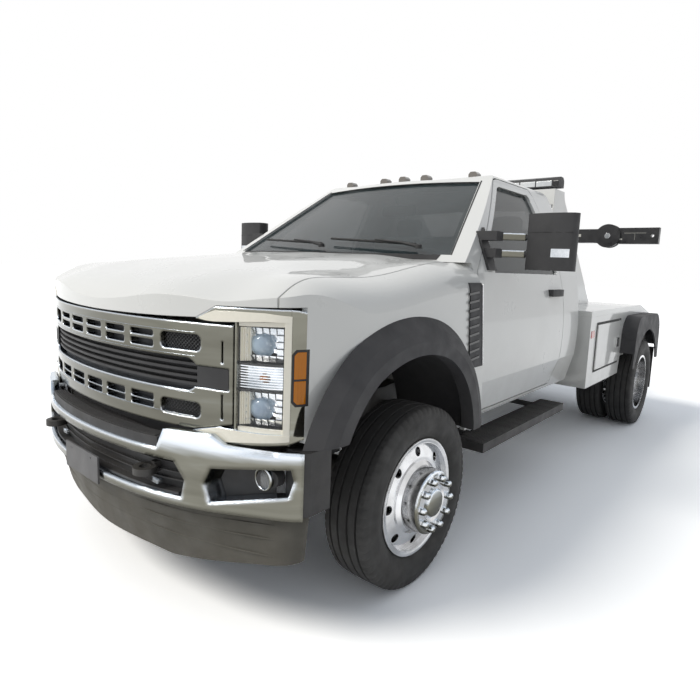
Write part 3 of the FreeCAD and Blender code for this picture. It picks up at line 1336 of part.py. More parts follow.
# Wheel lift
def wheel_lift():
    """Folding boom, sliding stinger with its crossbar, and two claws."""
    y = back(S.lift_y)
    half = S.boom_size / 2
    ear_gap = S.run_gap
    ears = []
    for side in (-1, 1):
        low = min(side * (half + ear_gap), side * (half + ear_gap + 20))
        ears.append(span((low, back(S.rail_rear_y - 40), S.lift_z - 70), (low + 20, y + 60, S.lift_z + 70)))
    beam = span((-S.rail_x, back(S.rail_rear_y - 40), S.lift_z - 60),
                (S.rail_x, back(S.rail_rear_y + 20), S.rail_rear_z - S.pin_gap))
    pin = rod("x", S.lift_pin_radius, (-half - 40, y, S.lift_z), 2 * half + 80)
    node("lift_mount", fuse(beam, pin, *ears))
    low = S.lift_z - 60
    tube = span((-half, y - half, low), (half, y + half, S.boom_top_z))
    bore = span((-half + S.boom_wall, y - half + S.boom_wall, low + 160),
                (half - S.boom_wall, y + half - S.boom_wall, S.boom_top_z + 1))
    eye = rod("x", S.lift_pin_radius + S.pin_gap, (-half - 1, y, S.lift_z), 2 * half + 2)
    width = S.cylinder_radius
    lugs = [box((x, back(S.lug_y - 30), S.lug_z - 36), (16, S.lift_y - S.lug_y - half + 32, 72))
            for x in (-width - 18, width + 2)]
    bosses = [rod("x", S.cylinder_pin, (x, back(S.lug_y), S.lug_z), 22) for x in (-width - 24, width + 2)]
    node("lift_boom", fuse(cut(tube, bore, eye), *lugs, *bosses))
    tilt_cylinder()
    inner = S.stinger_size / 2
    pad = half - S.boom_wall - S.pin_gap
    pads = span((-pad, y - pad, S.lift_z + 142), (pad, y + pad, S.lift_z + 202))
    stinger = fuse(span((-inner, y - inner, S.lift_z + 140), (inner, y + inner, S.cross_z + S.cross_height / 2)), pads)
    depth = S.cross_depth / 2
    arm = S.claw_x - S.claw_disc - 10
    beam = span((-arm, back(S.cross_y) - depth, S.cross_z - S.cross_height / 2),
                (arm, back(S.cross_y) + depth, S.cross_z + S.cross_height / 2))
    plates = []
    plate = 14
    claw = S.claw_depth / 2
    for side in (-1, 1):
        for low_y in (back(S.cross_y) - claw - S.run_gap - plate, back(S.cross_y) + claw + S.run_gap):
            plates.append(rod("y", S.claw_disc, (side * S.claw_x, low_y, S.cross_z), plate))
            near = min(side * (arm - 60), side * S.claw_x)
            plates.append(box((near, low_y, S.cross_z - S.cross_height / 2),
                              (S.claw_x - arm + 60, plate, S.cross_height)))
        plates.append(rod("y", S.claw_pin_radius, (side * S.claw_x, back(S.cross_y) - claw - S.run_gap - plate - 6,
                                                   S.cross_z), S.claw_depth + 2 * (S.run_gap + plate + 6)))
    node("crossbar", fuse(stinger, beam, *plates))
    boss = rod("y", S.claw_disc - 6, (S.claw_x, back(S.cross_y) - claw, S.cross_z), S.claw_depth)
    arm_piece = span((S.claw_x, back(S.cross_y) - claw, S.cross_z - S.claw_height / 2),
                     (S.claw_end_x, back(S.cross_y) + claw, S.cross_z + S.claw_height / 2))
    bore = rod("y", S.claw_pin_radius + S.pin_gap, (S.claw_x, back(S.cross_y) - claw - 1, S.cross_z), S.claw_depth + 2)
    eye = rod("y", S.eye_radius, (S.claw_end_x - 60, back(S.cross_y) - claw - 1, S.cross_z), S.claw_depth + 2)
    whole = cut(fuse(boss, arm_piece), bore, eye)
    node("claw_left", whole)
    node("claw_right", mirrored(whole))


def tilt_cylinder():
    """The cylinder that folds the lift: its barrel and its rod."""
    start = Vector(0, back(S.anchor_y), S.anchor_z)
    end = Vector(0, back(S.lug_y), S.lug_z)
    line = end - start
    length = line.Length
    line.normalize()
    across = Vector(1, 0, 0)
    bore = S.cylinder_pin + S.pin_gap
    wide = S.cylinder_radius - 1

    def along(radius, first, last):
        return Part.makeCylinder(radius, last - first, start + line * first, line)

    def eye(radius, centre, half):
        return Part.makeCylinder(radius, 2 * half, centre - across * half, across)

    tube = along(S.cylinder_radius, 26, length - 60).fuse(eye(wide - 3, start, wide))
    hollow = along(S.cylinder_rod + S.pin_gap, 62, length)
    node("lift_cylinder", shaped(solids(tube.cut([hollow, eye(bore, start, 100)]))))
    shaft = along(S.cylinder_rod, 66, length - 20).fuse(eye(wide - 3, end, wide))
    node("lift_rod", shaped(solids(shaft.cut(eye(bore, end, 100)))))


def check_objects():
    """Stop if any object failed or any sub-part isn't a valid solid."""
    bad = [obj.Label for obj in doc.Objects if "Invalid" in obj.State or "Error" in obj.State]
    for obj in NODES:
        shape = obj.Shape
        if shape.isNull() or not shape.isValid() or not shape.Solids:
            bad.append(obj.Label)
    if bad:
        raise RuntimeError("failed: " + ", ".join(bad))


def write_parts():
    """Write each sub-part to its own file."""
    os.makedirs("parts", exist_ok=True)
    for obj in NODES:
        obj.Shape.exportStep("parts/" + obj.Label + ".step")


wheels()
frame()
drive_line()
front_axle()
rear_axle()
knuckles()
cab()
cab_fittings()
front_fittings()
wings_and_hood()
flares()
tow_body()
pylon()
marker_lamps()
running_boards()
mirrors()
wheel_lift()
doc.recompute()
check_objects()
write_parts()
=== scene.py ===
"""Looks of the tow truck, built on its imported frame. Metres, front towards -Y."""
import math

import bmesh
import bpy
from mathutils import Matrix, Vector


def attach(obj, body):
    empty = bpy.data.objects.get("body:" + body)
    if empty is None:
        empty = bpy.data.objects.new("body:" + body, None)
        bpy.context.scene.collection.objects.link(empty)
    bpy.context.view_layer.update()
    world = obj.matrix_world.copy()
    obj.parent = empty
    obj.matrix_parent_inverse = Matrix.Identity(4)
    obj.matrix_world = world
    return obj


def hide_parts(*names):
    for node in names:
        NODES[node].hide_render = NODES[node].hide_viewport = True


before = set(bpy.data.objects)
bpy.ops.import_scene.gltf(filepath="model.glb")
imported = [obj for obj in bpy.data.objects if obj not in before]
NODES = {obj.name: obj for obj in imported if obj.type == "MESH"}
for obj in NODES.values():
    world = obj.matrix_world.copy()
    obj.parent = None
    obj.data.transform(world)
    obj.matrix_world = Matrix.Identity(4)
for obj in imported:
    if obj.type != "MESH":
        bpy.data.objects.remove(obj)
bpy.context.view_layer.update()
AXLE_Y = -1.795
REAR_Y = 1.896
AXLE_Z = 0.405
SIDES = (("left", False), ("right", True))

# The camera's fit to the photograph; its turn is yaw, pitch and roll
CAMERA_PLACE = (2.211, -3.699, 1.406)
CAMERA_TURN = (39.98, -7.43, 2.28)
CAMERA_LENS = 27.03
CAMERA_SHIFT = -0.0233

# Light and floor
AMBIENT_STRENGTH = 0.52
AMBIENT = tuple(AMBIENT_STRENGTH * value for value in (0.77, 0.82, 0.89))
FLOOR_LIT = (0.62, 0.61, 0.59)
FLOOR_SEEN = (1.55, 1.55, 1.55)
FLOOR_HALF = 60
KEY_ENERGY = 2.1
KEY_ANGLE = 24
KEY_COLOUR = (1.0, 0.965, 0.90)
KEY_FROM = (-0.42, -0.62, 0.66)

# Soil, and the colours of the reflection painted on chrome
PAINT_DUST = (0.36, 0.33, 0.28)
TRIM_DUST = (0.20, 0.18, 0.15)
TYRE_DUST = (0.12, 0.11, 0.10)
# Colours of the reflection painted on chrome, from facing the ground to facing the sky
PAINTED_REFLECTION_BANDS = ((0.0, (0.07, 0.068, 0.055)), (0.42, (0.13, 0.125, 0.10)), (0.505, (0.22, 0.215, 0.18)),
                (0.55, (0.36, 0.37, 0.36)), (0.61, (0.74, 0.78, 0.83)), (0.70, (0.90, 0.93, 0.96)),
                (0.86, (0.50, 0.60, 0.74)), (1.0, (0.78, 0.85, 0.93)))


def at(behind):
    """Y of a place given in millimetres behind the front axle."""
    return AXLE_Y + behind / 1000


def sides(*stems):
    """The names of the left and right pieces."""
    return [stem + "_" + side for stem in stems for side, _flip in SIDES]


def turns(count, offset=0):
    """Equally spaced angles round a circle."""
    return [2 * math.pi * (k + offset) / count for k in range(count)]


def spaced(first, last, count):
    """Evenly spaced values, both ends included."""
    return [first + (last - first) * k / count for k in range(count + 1)]


# Materials
class Nodes:
    """A small helper that builds a material's node tree."""

    def __init__(self, name):
        self.mat = bpy.data.materials.new(name)
        self.mat.use_nodes = True
        self.tree = self.mat.node_tree
        self.bsdf = self.tree.nodes["Principled BSDF"]
        self.place = self.node("ShaderNodeTexCoord").outputs["Object"]

    def link(self, source, target):
        self.tree.links.new(source, target)

    def put(self, socket, value):
        """Links another node's output, or sets a constant on the socket itself."""
        if isinstance(value, bpy.types.NodeSocket):
            self.link(value, socket)
        else:
            socket.default_value = value

    def node(self, kind, inputs=None, **settings):
        made = self.tree.nodes.new(kind)
        for key, value in settings.items():
            setattr(made, key, value)
        for key, value in (inputs or {}).items():
            self.put(made.inputs[key], value)
        return made

    def set(self, **values):
        """Inputs of the shader, with an underscore for each space in their names."""
        for key, value in values.items():
            self.put(self.bsdf.inputs[key.replace("_", " ")], value)

    def noise(self, scale, detail, rough=0.55, place=None, distortion=0.0):
        made = self.node("ShaderNodeTexNoise", {"Scale": scale, "Detail": detail, "Roughness": rough,
                                                "Distortion": distortion, "Vector": place or self.place})
        return made.outputs["Fac"]

    def wave(self, direction, scale, distortion, detail):
        made = self.node("ShaderNodeTexWave", {"Scale": scale, "Distortion": distortion, "Detail": detail,
                                               "Vector": self.place}, bands_direction=direction)
        return made.outputs["Fac"]

    def stretched(self, x, y, z):
        return self.node("ShaderNodeMapping", {"Scale": (x, y, z), "Vector": self.place}).outputs["Vector"]

    def z_of(self, vector):
        return self.node("ShaderNodeSeparateXYZ", {0: vector}).outputs[2]

    def ramp(self, fac, low, high, first, second):
        made = self.node("ShaderNodeMapRange", {"Value": fac, "From Min": low, "From Max": high, "To Min": first,
                                                "To Max": second})
        return made.outputs["Result"]

    def mix(self, fac, first, second):
        made = self.node("ShaderNodeMix", {"Factor": fac}, data_type="RGBA")
        for place, value in ((6, first), (7, second)):
            self.put(made.inputs[place], value + (1,) if isinstance(value, tuple) else value)
        return made.outputs[2]

    def math(self, kind, first, second):
        return self.node("ShaderNodeMath", {0: first, 1: second}, operation=kind).outputs[0]

    def soft_normal(self, radius, samples=4):
        """The normal as if the edges were rounded."""
        return self.node("ShaderNodeBevel", {"Radius": radius}, samples=samples).outputs["Normal"]

    def edges(self, radius, strength):
        """A mask that is 0 on flats and rises to the strength on sharp edges."""
        flat = self.node("ShaderNodeNewGeometry").outputs["Normal"]
        dot = self.node("ShaderNodeVectorMath", {0: self.soft_normal(radius), 1: flat}, operation="DOT_PRODUCT")
        return self.ramp(dot.outputs["Value"], 1.0, 0.82, 0.0, strength)

    def roughness(self, low, high, scale, detail, fine=0.55, upper=0.7):
        """Roughness that wanders between two values."""
        self.set(Roughness=self.ramp(self.noise(scale, detail, fine), 0.3, upper, low, high))

    def bump(self, height, strength, distance, rounded=0.0):
        made = self.node("ShaderNodeBump", {"Strength": strength, "Distance": distance, "Height": height})
        if rounded:
            self.link(self.soft_normal(rounded), made.inputs["Normal"])
        self.set(Normal=made.outputs["Normal"])


def dirt(n, clean, soil, low, high, amount):
    """Road dust that fades out between two heights."""
    height = n.ramp(n.z_of(n.place), low, high, 1.0, 0.0)
    cloud = n.ramp(n.noise(5.0, 6.0, 0.65), 0.35, 0.75, 0.15, 1.0)
    return n.mix(n.math("MULTIPLY", n.math("MULTIPLY", height, cloud), amount), clean, soil)


def paint(name, light, shade):
    """Clear-coated paint with dust along its lower part."""
    n = Nodes(name)
    tone = n.mix(n.noise(1.3, 3.0), light, shade)
    n.set(Base_Color=dirt(n, tone, PAINT_DUST, 0.55, 1.15, 0.32), Coat_Weight=0.7, Coat_Roughness=0.04)
    n.roughness(0.24, 0.42, 3.2, 7.0, 0.7)
    n.bump(n.noise(420.0, 2.0), 0.05, 0.0006, 0.004)
    return n.mat


def metal(name, light, shade, rough, grain=None, soil=None, rounded=0.0025):
    """Bare metal, with brushed grain or soil where they are given."""
    n = Nodes(name)
    tone = n.mix(n.ramp(n.noise(7.0, 5.0), 0.35, 0.65, 0.0, 1.0), light, shade)
    if soil:
        tone = dirt(n, tone, soil, 0.1, 0.9, 0.55)
    n.set(Metallic=1.0, Base_Color=tone)
    n.roughness(*rough, 22.0, 8.0, 0.7, 0.72)
    height = n.noise(600.0, 2.0, place=n.stretched(*grain)) if grain else n.noise(160.0, 3.0)
    n.bump(height, 0.06, 0.0005, rounded)
    return n.mat


def chrome(name, radius, shade=1.0, top_highlight=None):
    """Plated metal painted with a reflection: pale where it leans to the sky, dark where it faces the ground.

    A top highlight (low, high, lean) paints a brighter band of reflection on its upper part, as if it leaned further
    to the sky.
    """
    n = Nodes(name)
    # The colour follows how far the rounded normal faces up: a painted reflection, pale for the sky and dark for the
    # ground.
    up = n.z_of(n.soft_normal(radius, 6))
    # Stretched noise paints horizontal streaks of reflection into the colour.
    reflection_streaks = n.noise(1.6, 3.0, place=n.stretched(1.0, 1.0, 7.0), distortion=0.6)
    lean = n.math("ADD", up, n.ramp(reflection_streaks, 0.3, 0.7, -0.11, 0.06))
    # A painted highlight along the upper band, given by height.
    if top_highlight:
        low, high, more = top_highlight
        lean = n.math("ADD", lean, n.ramp(n.z_of(n.place), low, high, 0.0, more))
    bands = n.node("ShaderNodeValToRGB", {0: n.ramp(lean, -1.0, 1.0, 0.0, 1.0)})
    stops = bands.color_ramp.elements
    while len(stops) < len(PAINTED_REFLECTION_BANDS):
        stops.new(0.5)
    for stop, (where, colour) in zip(stops, PAINTED_REFLECTION_BANDS):
        stop.position = where
        # The shade factor darkens the painted reflection, a painted shade.
        stop.color = tuple(shade * value for value in colour) + (1,)
    n.set(Metallic=1.0, Base_Color=bands.outputs[0])
    n.roughness(0.05, 0.16, 16.0, 8.0, 0.7, 0.72)
    n.bump(n.noise(9.0, 2.0), 0.05, 0.004, radius)
    return n.mat


def plastic(name, light, shade, rough=(0.5, 0.72), grain=900.0, strength=0.35, worn=0.25):
    """Grained plastic or painted steel, paler where its edges are worn."""
    n = Nodes(name)
    tone = n.mix(n.noise(4.0, 6.0, 0.6), light, shade)
    pale = tuple(min(1.0, 2.6 * value + 0.02) for value in light)
    mask = n.math("MULTIPLY", n.edges(0.003, worn), n.ramp(n.noise(30.0, 4.0), 0.4, 0.6, 0.2, 1.0))
    n.set(Base_Color=dirt(n, n.mix(mask, tone, pale), TRIM_DUST, 0.1, 1.0, 0.3))
    n.roughness(*rough, 11.0, 7.0)
    n.bump(n.noise(grain, 2.0, 0.6), strength, 0.0006, 0.002)
    return n.mat


def rubber(name):
    """Tyre rubber with patches of dust."""
    n = Nodes(name)
    tone = n.mix(n.noise(9.0, 6.0, 0.6), (0.018, 0.018, 0.019), (0.040, 0.039, 0.037))
    n.set(Base_Color=n.mix(n.ramp(n.noise(2.6, 8.0, 0.7), 0.5, 0.8, 0.0, 0.35), tone, TYRE_DUST))
    n.roughness(0.62, 0.86, 14.0, 6.0)
    n.bump(n.noise(700.0, 3.0), 0.3, 0.0005, 0.0015)
    return n.mat


def glass(name, tint, alpha):
    """Smudged glass."""
    n = Nodes(name)
    smudge = n.ramp(n.noise(3.4, 8.0, 0.7), 0.35, 0.75, 0.0, 1.0)
    dusty = tuple(min(1.0, value * 1.8 + 0.03) for value in tint)
    n.set(Base_Color=n.mix(smudge, tint, dusty), Alpha=alpha, Specular_IOR_Level=0.8)
    n.roughness(0.02, 0.11, 9.0, 6.0, upper=0.75)
    n.bump(n.noise(1.8, 2.0), 0.02, 0.002)
    return n.mat


def lens(name, tint, alpha, glow=0.0, ribs=0.0, shine=0.6):
    """A lamp's lens, ribbed or plain."""
    n = Nodes(name)
    n.set(Base_Color=n.mix(n.noise(60.0, 4.0), tint, tuple(0.86 * value for value in tint)), Alpha=alpha,
          Coat_Weight=shine, Specular_IOR_Level=0.5 * shine + 0.2)
    n.roughness(0.03, 0.12, 40.0, 4.0)
    if glow:
        n.set(Emission_Color=tint + (1,), Emission_Strength=glow)
    if ribs:
        n.bump(n.wave("X", ribs, 0.0, 2.0), 0.6, 0.0012)
    else:
        n.bump(n.noise(120.0, 2.0), 0.08, 0.0006)
    return n.mat


def cloth(name, light, shade):
    """Woven seat cloth."""
    n = Nodes(name)
    warp, weft = (n.wave(direction, 150.0, 1.2, 1.0) for direction in "XY")
    weave = n.math("MAXIMUM", warp, weft)
    tone = n.mix(n.noise(3.0, 5.0), light, shade)
    # The weave's gaps are painted darker: painted shade in its hollows.
    hollow_shade = tuple(0.45 * value for value in shade)
    n.set(Base_Color=n.mix(n.ramp(weave, 0.5, 1.0, 0.35, 0.0), tone, hollow_shade), Sheen_Weight=0.25)
    n.roughness(0.78, 0.95, 20.0, 4.0)
    n.bump(weave, 0.5, 0.0008)
    return n.mat


WHITE = paint("white_paint", (0.80, 0.80, 0.775), (0.74, 0.745, 0.73))
BLACK = plastic("black_plastic", (0.022, 0.022, 0.024), (0.034, 0.034, 0.036))
FLARE = plastic("grained_flare", (0.026, 0.026, 0.029), (0.042, 0.042, 0.046), (0.55, 0.78), 520.0, 0.5)
GREY = plastic("grey_plastic", (0.10, 0.10, 0.105), (0.15, 0.15, 0.155))
FRAME = plastic("chassis_black", (0.016, 0.016, 0.017), (0.045, 0.042, 0.038), (0.35, 0.75), 240.0, 0.3, 0.45)
STEEL = plastic("lift_black", (0.012, 0.012, 0.014), (0.022, 0.022, 0.024), (0.26, 0.5), 300.0, 0.2, 0.35)
CHROME = chrome("chrome", 0.009)
# The bumper's top band gets a painted highlight.
BUMPER_CHROME = chrome("bumper_chrome", 0.022, 0.92, (0.700, 0.765, 0.42))
# The grille's painted reflection is darkened to 0.80 as painted shade.
GRILLE_CHROME = chrome("grille_chrome", 0.010, 0.80)
REFLECTOR = metal("lamp_reflector", (0.93, 0.95, 0.98), (0.52, 0.56, 0.60), (0.06, 0.22), rounded=0.0)
# Chrome whose painted reflection is darkened to 0.62 as painted shade, for the fog lamp bowls, mirror panes and
# grille lines.
DARK_CHROME = chrome("shaded_chrome", 0.004, 0.62)
VALANCE = plastic("valance_plastic", (0.085, 0.080, 0.066), (0.060, 0.057, 0.048), (0.6, 0.85), 700.0, 0.4, 0.2)
GLOSS = plastic("gloss_black", (0.010, 0.010, 0.011), (0.016, 0.016, 0.017), (0.10, 0.22), 300.0, 0.05, 0.1)
SEAL = plastic("black_seal", (0.014, 0.014, 0.015), (0.022, 0.022, 0.023), (0.6, 0.8), 500.0, 0.2, 0.1)
LABEL = plastic("pale_label", (0.62, 0.61, 0.56), (0.52, 0.51, 0.47), (0.35, 0.5), 260.0, 0.08, 0.1)
ALLOY = metal("polished_alloy", (0.74, 0.745, 0.76), (0.50, 0.50, 0.50), (0.08, 0.26))
CAST = metal("cast_steel", (0.16, 0.155, 0.15), (0.07, 0.068, 0.065), (0.45, 0.8), soil=(0.12, 0.09, 0.07))
ROD = metal("hard_chrome", (0.84, 0.85, 0.86), (0.74, 0.75, 0.77), (0.03, 0.1), grain=(1.0, 60.0, 60.0))
RUBBER = rubber("tyre_rubber")
FLAP = plastic("flap_rubber", (0.018, 0.018, 0.018), (0.030, 0.030, 0.030), (0.6, 0.85), 300.0, 0.3)
WINDOW = glass("tinted_window", (0.012, 0.024, 0.028), 0.58)
CLEAR = lens("clear_lens", (0.80, 0.83, 0.85), alpha=0.22)
AMBER = lens("amber_lens", (0.62, 0.20, 0.004), glow=0.05, alpha=0.98, ribs=60.0, shine=0.08)
RED = lens("red_lens", (0.60, 0.02, 0.015), glow=0.05, alpha=0.94, ribs=60.0)
GUIDE = lens("light_guide", (0.90, 0.86, 0.74), glow=0.12, alpha=0.97)
SMOKED = lens("smoked_lens", (0.20, 0.18, 0.16), alpha=0.95)
COVER = glass("cover_lens", (0.60, 0.64, 0.67), 0.04)
PROJECTOR = glass("projector_glass", (0.36, 0.47, 0.62), 0.85)
BAR_LENS = glass("bar_lens", (0.62, 0.65, 0.67), 0.92)
CLOTH = cloth("seat_cloth", (0.20, 0.195, 0.185), (0.15, 0.148, 0.142))

LOOKS = (
    (WHITE, ["cab_shell", "hood", "front_wings", "pylon", "tow_body", "tool_boxes"] + sides("door", "box_door")),
    (BLACK, ["cowl_panel", "wheel_liners", "fuel_tank", "bumper_trim", "grille_mesh", "road_lamps", "light_bar",
             "running_boards"] + sides("mirror", "door_handle")),
    (VALANCE, ["air_dam"]),
    (FLARE, ["front_flares", "rear_flares"]),
    (GREY, ["dashboard", "plate_bracket"]),
    (FRAME, ["chassis_frame", "front_axle", "rear_axle", "leaf_springs", "tow_hooks"]),
    (STEEL, ["crossbar", "lift_boom", "lift_mount", "lift_cylinder"] + sides("claw")),
    (GRILLE_CHROME, ["grille"]),
    (BUMPER_CHROME, ["front_bumper"]),
    (ALLOY, sides("rim_front", "rims_rear")),
    (CAST, ["engine_gearbox", "exhaust"] + sides("knuckle")),
    (ROD, ["lift_rod"]),
    (RUBBER, sides("tyre_front", "tyres_rear")),
    (FLAP, ["mud_flaps"]),
    (WINDOW, ["cab_glass", "door_left_glass", "door_right_glass"]),
    (CLEAR, ["headlamps"]),
    (SMOKED, ["roof_lamps"]),
    (CLOTH, ["seat_bench"]),
)
for look, names in LOOKS:
    for name in names:
        NODES[name].data.materials.clear()
        NODES[name].data.materials.append(look)


# Stage
def placed(name, data):
    """A new object in the scene."""
    obj = bpy.data.objects.new(name, data)
    bpy.context.scene.collection.objects.link(obj)
    return obj


def camera():
    """A camera at the photograph's viewing angle."""
    data = bpy.data.cameras.new("camera")
    obj = placed("camera", data)
    yaw, pitch, roll = (math.radians(angle) for angle in CAMERA_TURN)
    obj.matrix_world = (Matrix.Translation(CAMERA_PLACE) @ Matrix.Rotation(yaw, 4, "Z")
                        @ Matrix.Rotation(math.pi / 2 + pitch, 4, "X") @ Matrix.Rotation(roll, 4, "Z"))
    data.lens = CAMERA_LENS
    data.sensor_width = 36
    data.shift_y = CAMERA_SHIFT
    data.clip_start = 0.05
    data.clip_end = 300
    bpy.context.scene.camera = obj


def split_look(tree, output, kind, lit, shown):
    """One colour that lights the object, another for the camera, reflections and looks through glass."""
    tree.nodes.clear()
    out = tree.nodes.new(output)
    path = tree.nodes.new("ShaderNodeLightPath")
    seen = path.outputs["Is Camera Ray"]
    for name in ("Is Glossy Ray", "Is Transmission Ray"):
        either = tree.nodes.new("ShaderNodeMath")
        either.operation = "MAXIMUM"
        tree.links.new(seen, either.inputs[0])
        tree.links.new(path.outputs[name], either.inputs[1])
        seen = either.outputs[0]
    mix = tree.nodes.new("ShaderNodeMixShader")
    tree.links.new(seen, mix.inputs[0])
    for place, colour in ((1, lit), (2, shown)):
        face = tree.nodes.new(kind)
        face.inputs["Color"].default_value = colour + (1,)
        tree.links.new(face.outputs[0], mix.inputs[place])
    tree.links.new(mix.outputs[0], out.inputs[0])


def stage():
    """Pale floor, white surroundings and one soft lamp."""
    world = bpy.data.worlds.new("studio")
    bpy.context.scene.world = world
    world.use_nodes = True
    split_look(world.node_tree, "ShaderNodeOutputWorld", "ShaderNodeBackground", AMBIENT, (1, 1, 1))

    mesh = bpy.data.meshes.new("floor")
    corners = [(x * FLOOR_HALF, y * FLOOR_HALF, 0) for x, y in ((-1, -1), (1, -1), (1, 1), (-1, 1))]
    mesh.from_pydata(corners, [], [(0, 1, 2, 3)])
    floor = placed("floor", mesh)
    look = bpy.data.materials.new("pale_floor")
    look.use_nodes = True
    split_look(look.node_tree, "ShaderNodeOutputMaterial", "ShaderNodeBsdfDiffuse", FLOOR_LIT, FLOOR_SEEN)
    mesh.materials.append(look)

    lamp = bpy.data.lights.new("soft_key", "SUN")
    lamp.energy = KEY_ENERGY
    lamp.angle = math.radians(KEY_ANGLE)
    lamp.color = KEY_COLOUR
    obj = placed("soft_key", lamp)
    obj.rotation_mode = "QUATERNION"
    obj.rotation_quaternion = Vector(KEY_FROM).to_track_quat("Z", "Y")


# Shapes
ALONG = {"x": lambda d, a, b: (d, a, b), "y": lambda d, a, b: (a, d, b), "z": lambda d, a, b: (a, b, d)}


class Shape:
    """Vertices and faces that are gathered into one piece."""

    def __init__(self):
        self.verts = []
        self.faces = []

    def add(self, verts, faces, turn=None):
        base = len(self.verts)
        self.verts += [turn @ Vector(v) if turn else Vector(v) for v in verts]
        self.faces += [[base + i for i in face] for face in faces]
        return self

    def block(self, x0, x1, behind0, behind1, z0, z1):
        """A box; its Y is given in millimetres behind the front axle."""
        corners = ((x0, behind0), (x1, behind0), (x1, behind1), (x0, behind1))
        verts = [(x, at(behind), z) for z in (z0, z1) for x, behind in corners]
        faces = [(3, 2, 1, 0), (4, 5, 6, 7), (0, 1, 5, 4), (1, 2, 6, 5), (2, 3, 7, 6), (3, 0, 4, 7)]
        return self.add(verts, faces)

    def prism(self, points, low, high, axis="x", turn=None):
        """An outline in the other two axes, drawn out along one axis."""
        count = len(points)
        verts = [ALONG[axis](depth, *point) for depth in (low, high) for point in points]
        faces = [list(range(count))[::-1], list(range(count, 2 * count))]
        faces += [(i, (i + 1) % count, count + (i + 1) % count, count + i) for i in range(count)]
        return self.add(verts, faces, turn)

    def loft(self, rings, caps=True, turn=None):
        """Rings of equally many points joined in order."""
        count = len(rings[0])
        verts = [p for ring in rings for p in ring]
        faces = [(row + i, row + (i + 1) % count, row + count + (i + 1) % count, row + count + i)
                 for row in range(0, (len(rings) - 1) * count, count) for i in range(count)]
        if caps:
            faces.append(list(range(count))[::-1])
            faces.append(list(range((len(rings) - 1) * count, len(rings) * count)))
        return self.add(verts, faces, turn)

    def tube(self, path, radius, sides):
        """A round bar along a path."""
        points = [Vector(p) for p in path]
        rings = []
        side = None
        for i, here in enumerate(points):
            along = (points[min(i + 1, len(points) - 1)] - points[max(i - 1, 0)]).normalized()
            if side is None:
                side = along.orthogonal().normalized()
            side = (side - along * side.dot(along)).normalized()
            other = along.cross(side)
            size = radius[i] if isinstance(radius, list) else radius
            rings.append([here + (side * math.cos(a) + other * math.sin(a)) * size for a in turns(sides)])
        return self.loft(rings)

    def lathe(self, profile, centre, axis, sides, turn=None):
        """A profile of (along, radius) turned about an axis."""
        rings = [[Vector(centre) + Vector(ALONG[axis](along, radius * math.cos(t), radius * math.sin(t)))
                  for t in turns(sides)] for along, radius in profile]
        return self.loft(rings, caps=False, turn=turn)

    def both(self):
        """Adds the mirror image on the other side of the vehicle."""
        return self.add([(-v.x, v.y, v.z) for v in self.verts], [face[::-1] for face in self.faces])

    def make(self, name, look, slot, body="truck", flip=False, bevel=0.0, smooth=35.0, segments=2):
        """The finished piece, riding on its body."""
        verts = [Vector((-v.x, v.y, v.z)) if flip else v for v in self.verts]
        mesh = bpy.data.meshes.new(name)
        mesh.from_pydata(verts, [], self.faces)
        mesh.validate()
        work = bmesh.new()
        work.from_mesh(mesh)
        bmesh.ops.remove_doubles(work, verts=work.verts, dist=1e-6)
        bmesh.ops.recalc_face_normals(work, faces=work.faces)
        work.to_mesh(mesh)
        work.free()
        mesh.materials.append(look)
        if smooth:
            mesh.shade_smooth()
            mesh.set_sharp_from_angle(angle=math.radians(smooth))
        obj = placed(name, mesh)
        if bevel:
            edge = obj.modifiers.new("edge", "BEVEL")
            edge.width = bevel
            edge.segments = segments
            edge.limit_method = "ANGLE"
            edge.angle_limit = math.radians(32)
            edge.harden_normals = True
        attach(obj, body)
        return obj


def pair(shape, name, look, slot, body, **more):
    """A piece on the left side and its mirror image on the right."""
    for side, flip in SIDES:
        shape.make(name + "_" + side, look, slot, body.replace("SIDE", side), flip, **more)


# Tyres
TREAD_RADIUS = 0.405
BEAD_RADIUS = 0.2485
TYRE_STEPS = 264
FRONT_MIDDLE = 0.950
TWIN_MIDDLES = (1.071, 0.809)
SIDEWALL = ((0.0845, BEAD_RADIUS), (0.0865, 0.263), (0.097, 0.272), (0.108, 0.298), (0.1125, 0.318), (0.113, 0.333),
            (0.1118, 0.350), (0.1100, 0.356), (0.1105, 0.362), (0.1080, 0.379), (0.1035, 0.391), (0.0985, 0.398),
            (0.0930, 0.4018))
GROOVES = (0.066, 0.024, -0.024, -0.066)
GROOVE_DEPTH = 0.010
NOTCH_DEPTH = 0.0045
SIPE_DEPTH = 0.0012


def tyre(middle, behind_y):
    """A ribbed road tyre with shoulder notches and a moulded sidewall."""
    profile = list(SIDEWALL)
    for groove in GROOVES:
        for aside, depth in ((0.0055, 0.0), (0.0035, GROOVE_DEPTH), (-0.0035, GROOVE_DEPTH), (-0.0055, 0.0)):
            x = groove + aside
            profile.append((x, TREAD_RADIUS - 0.0035 * (x / 0.09) ** 2 - depth))
    profile += [(-x, radius) for x, radius in reversed(SIDEWALL)]
    profile += [(-0.080, BEAD_RADIUS), (0.080, BEAD_RADIUS)]
    rings = []
    for k, turn in enumerate(turns(TYRE_STEPS)):
        ring = []
        for x, radius in profile:
            on_shoulder = abs(x) > 0.0915 and radius > 0.377
            on_rib = abs(abs(x) - 0.045) < 0.022 and radius > 0.39
            if on_rib and k % 11 == 0:
                radius -= SIPE_DEPTH
            if on_shoulder and k % 4 == 0:
                radius -= NOTCH_DEPTH
                x *= 0.985
            ring.append((middle + x, behind_y + radius * math.cos(turn), AXLE_Z + radius * math.sin(turn)))
        rings.append(ring)
    rings.append(rings[0])
    return Shape().loft(rings, caps=False)


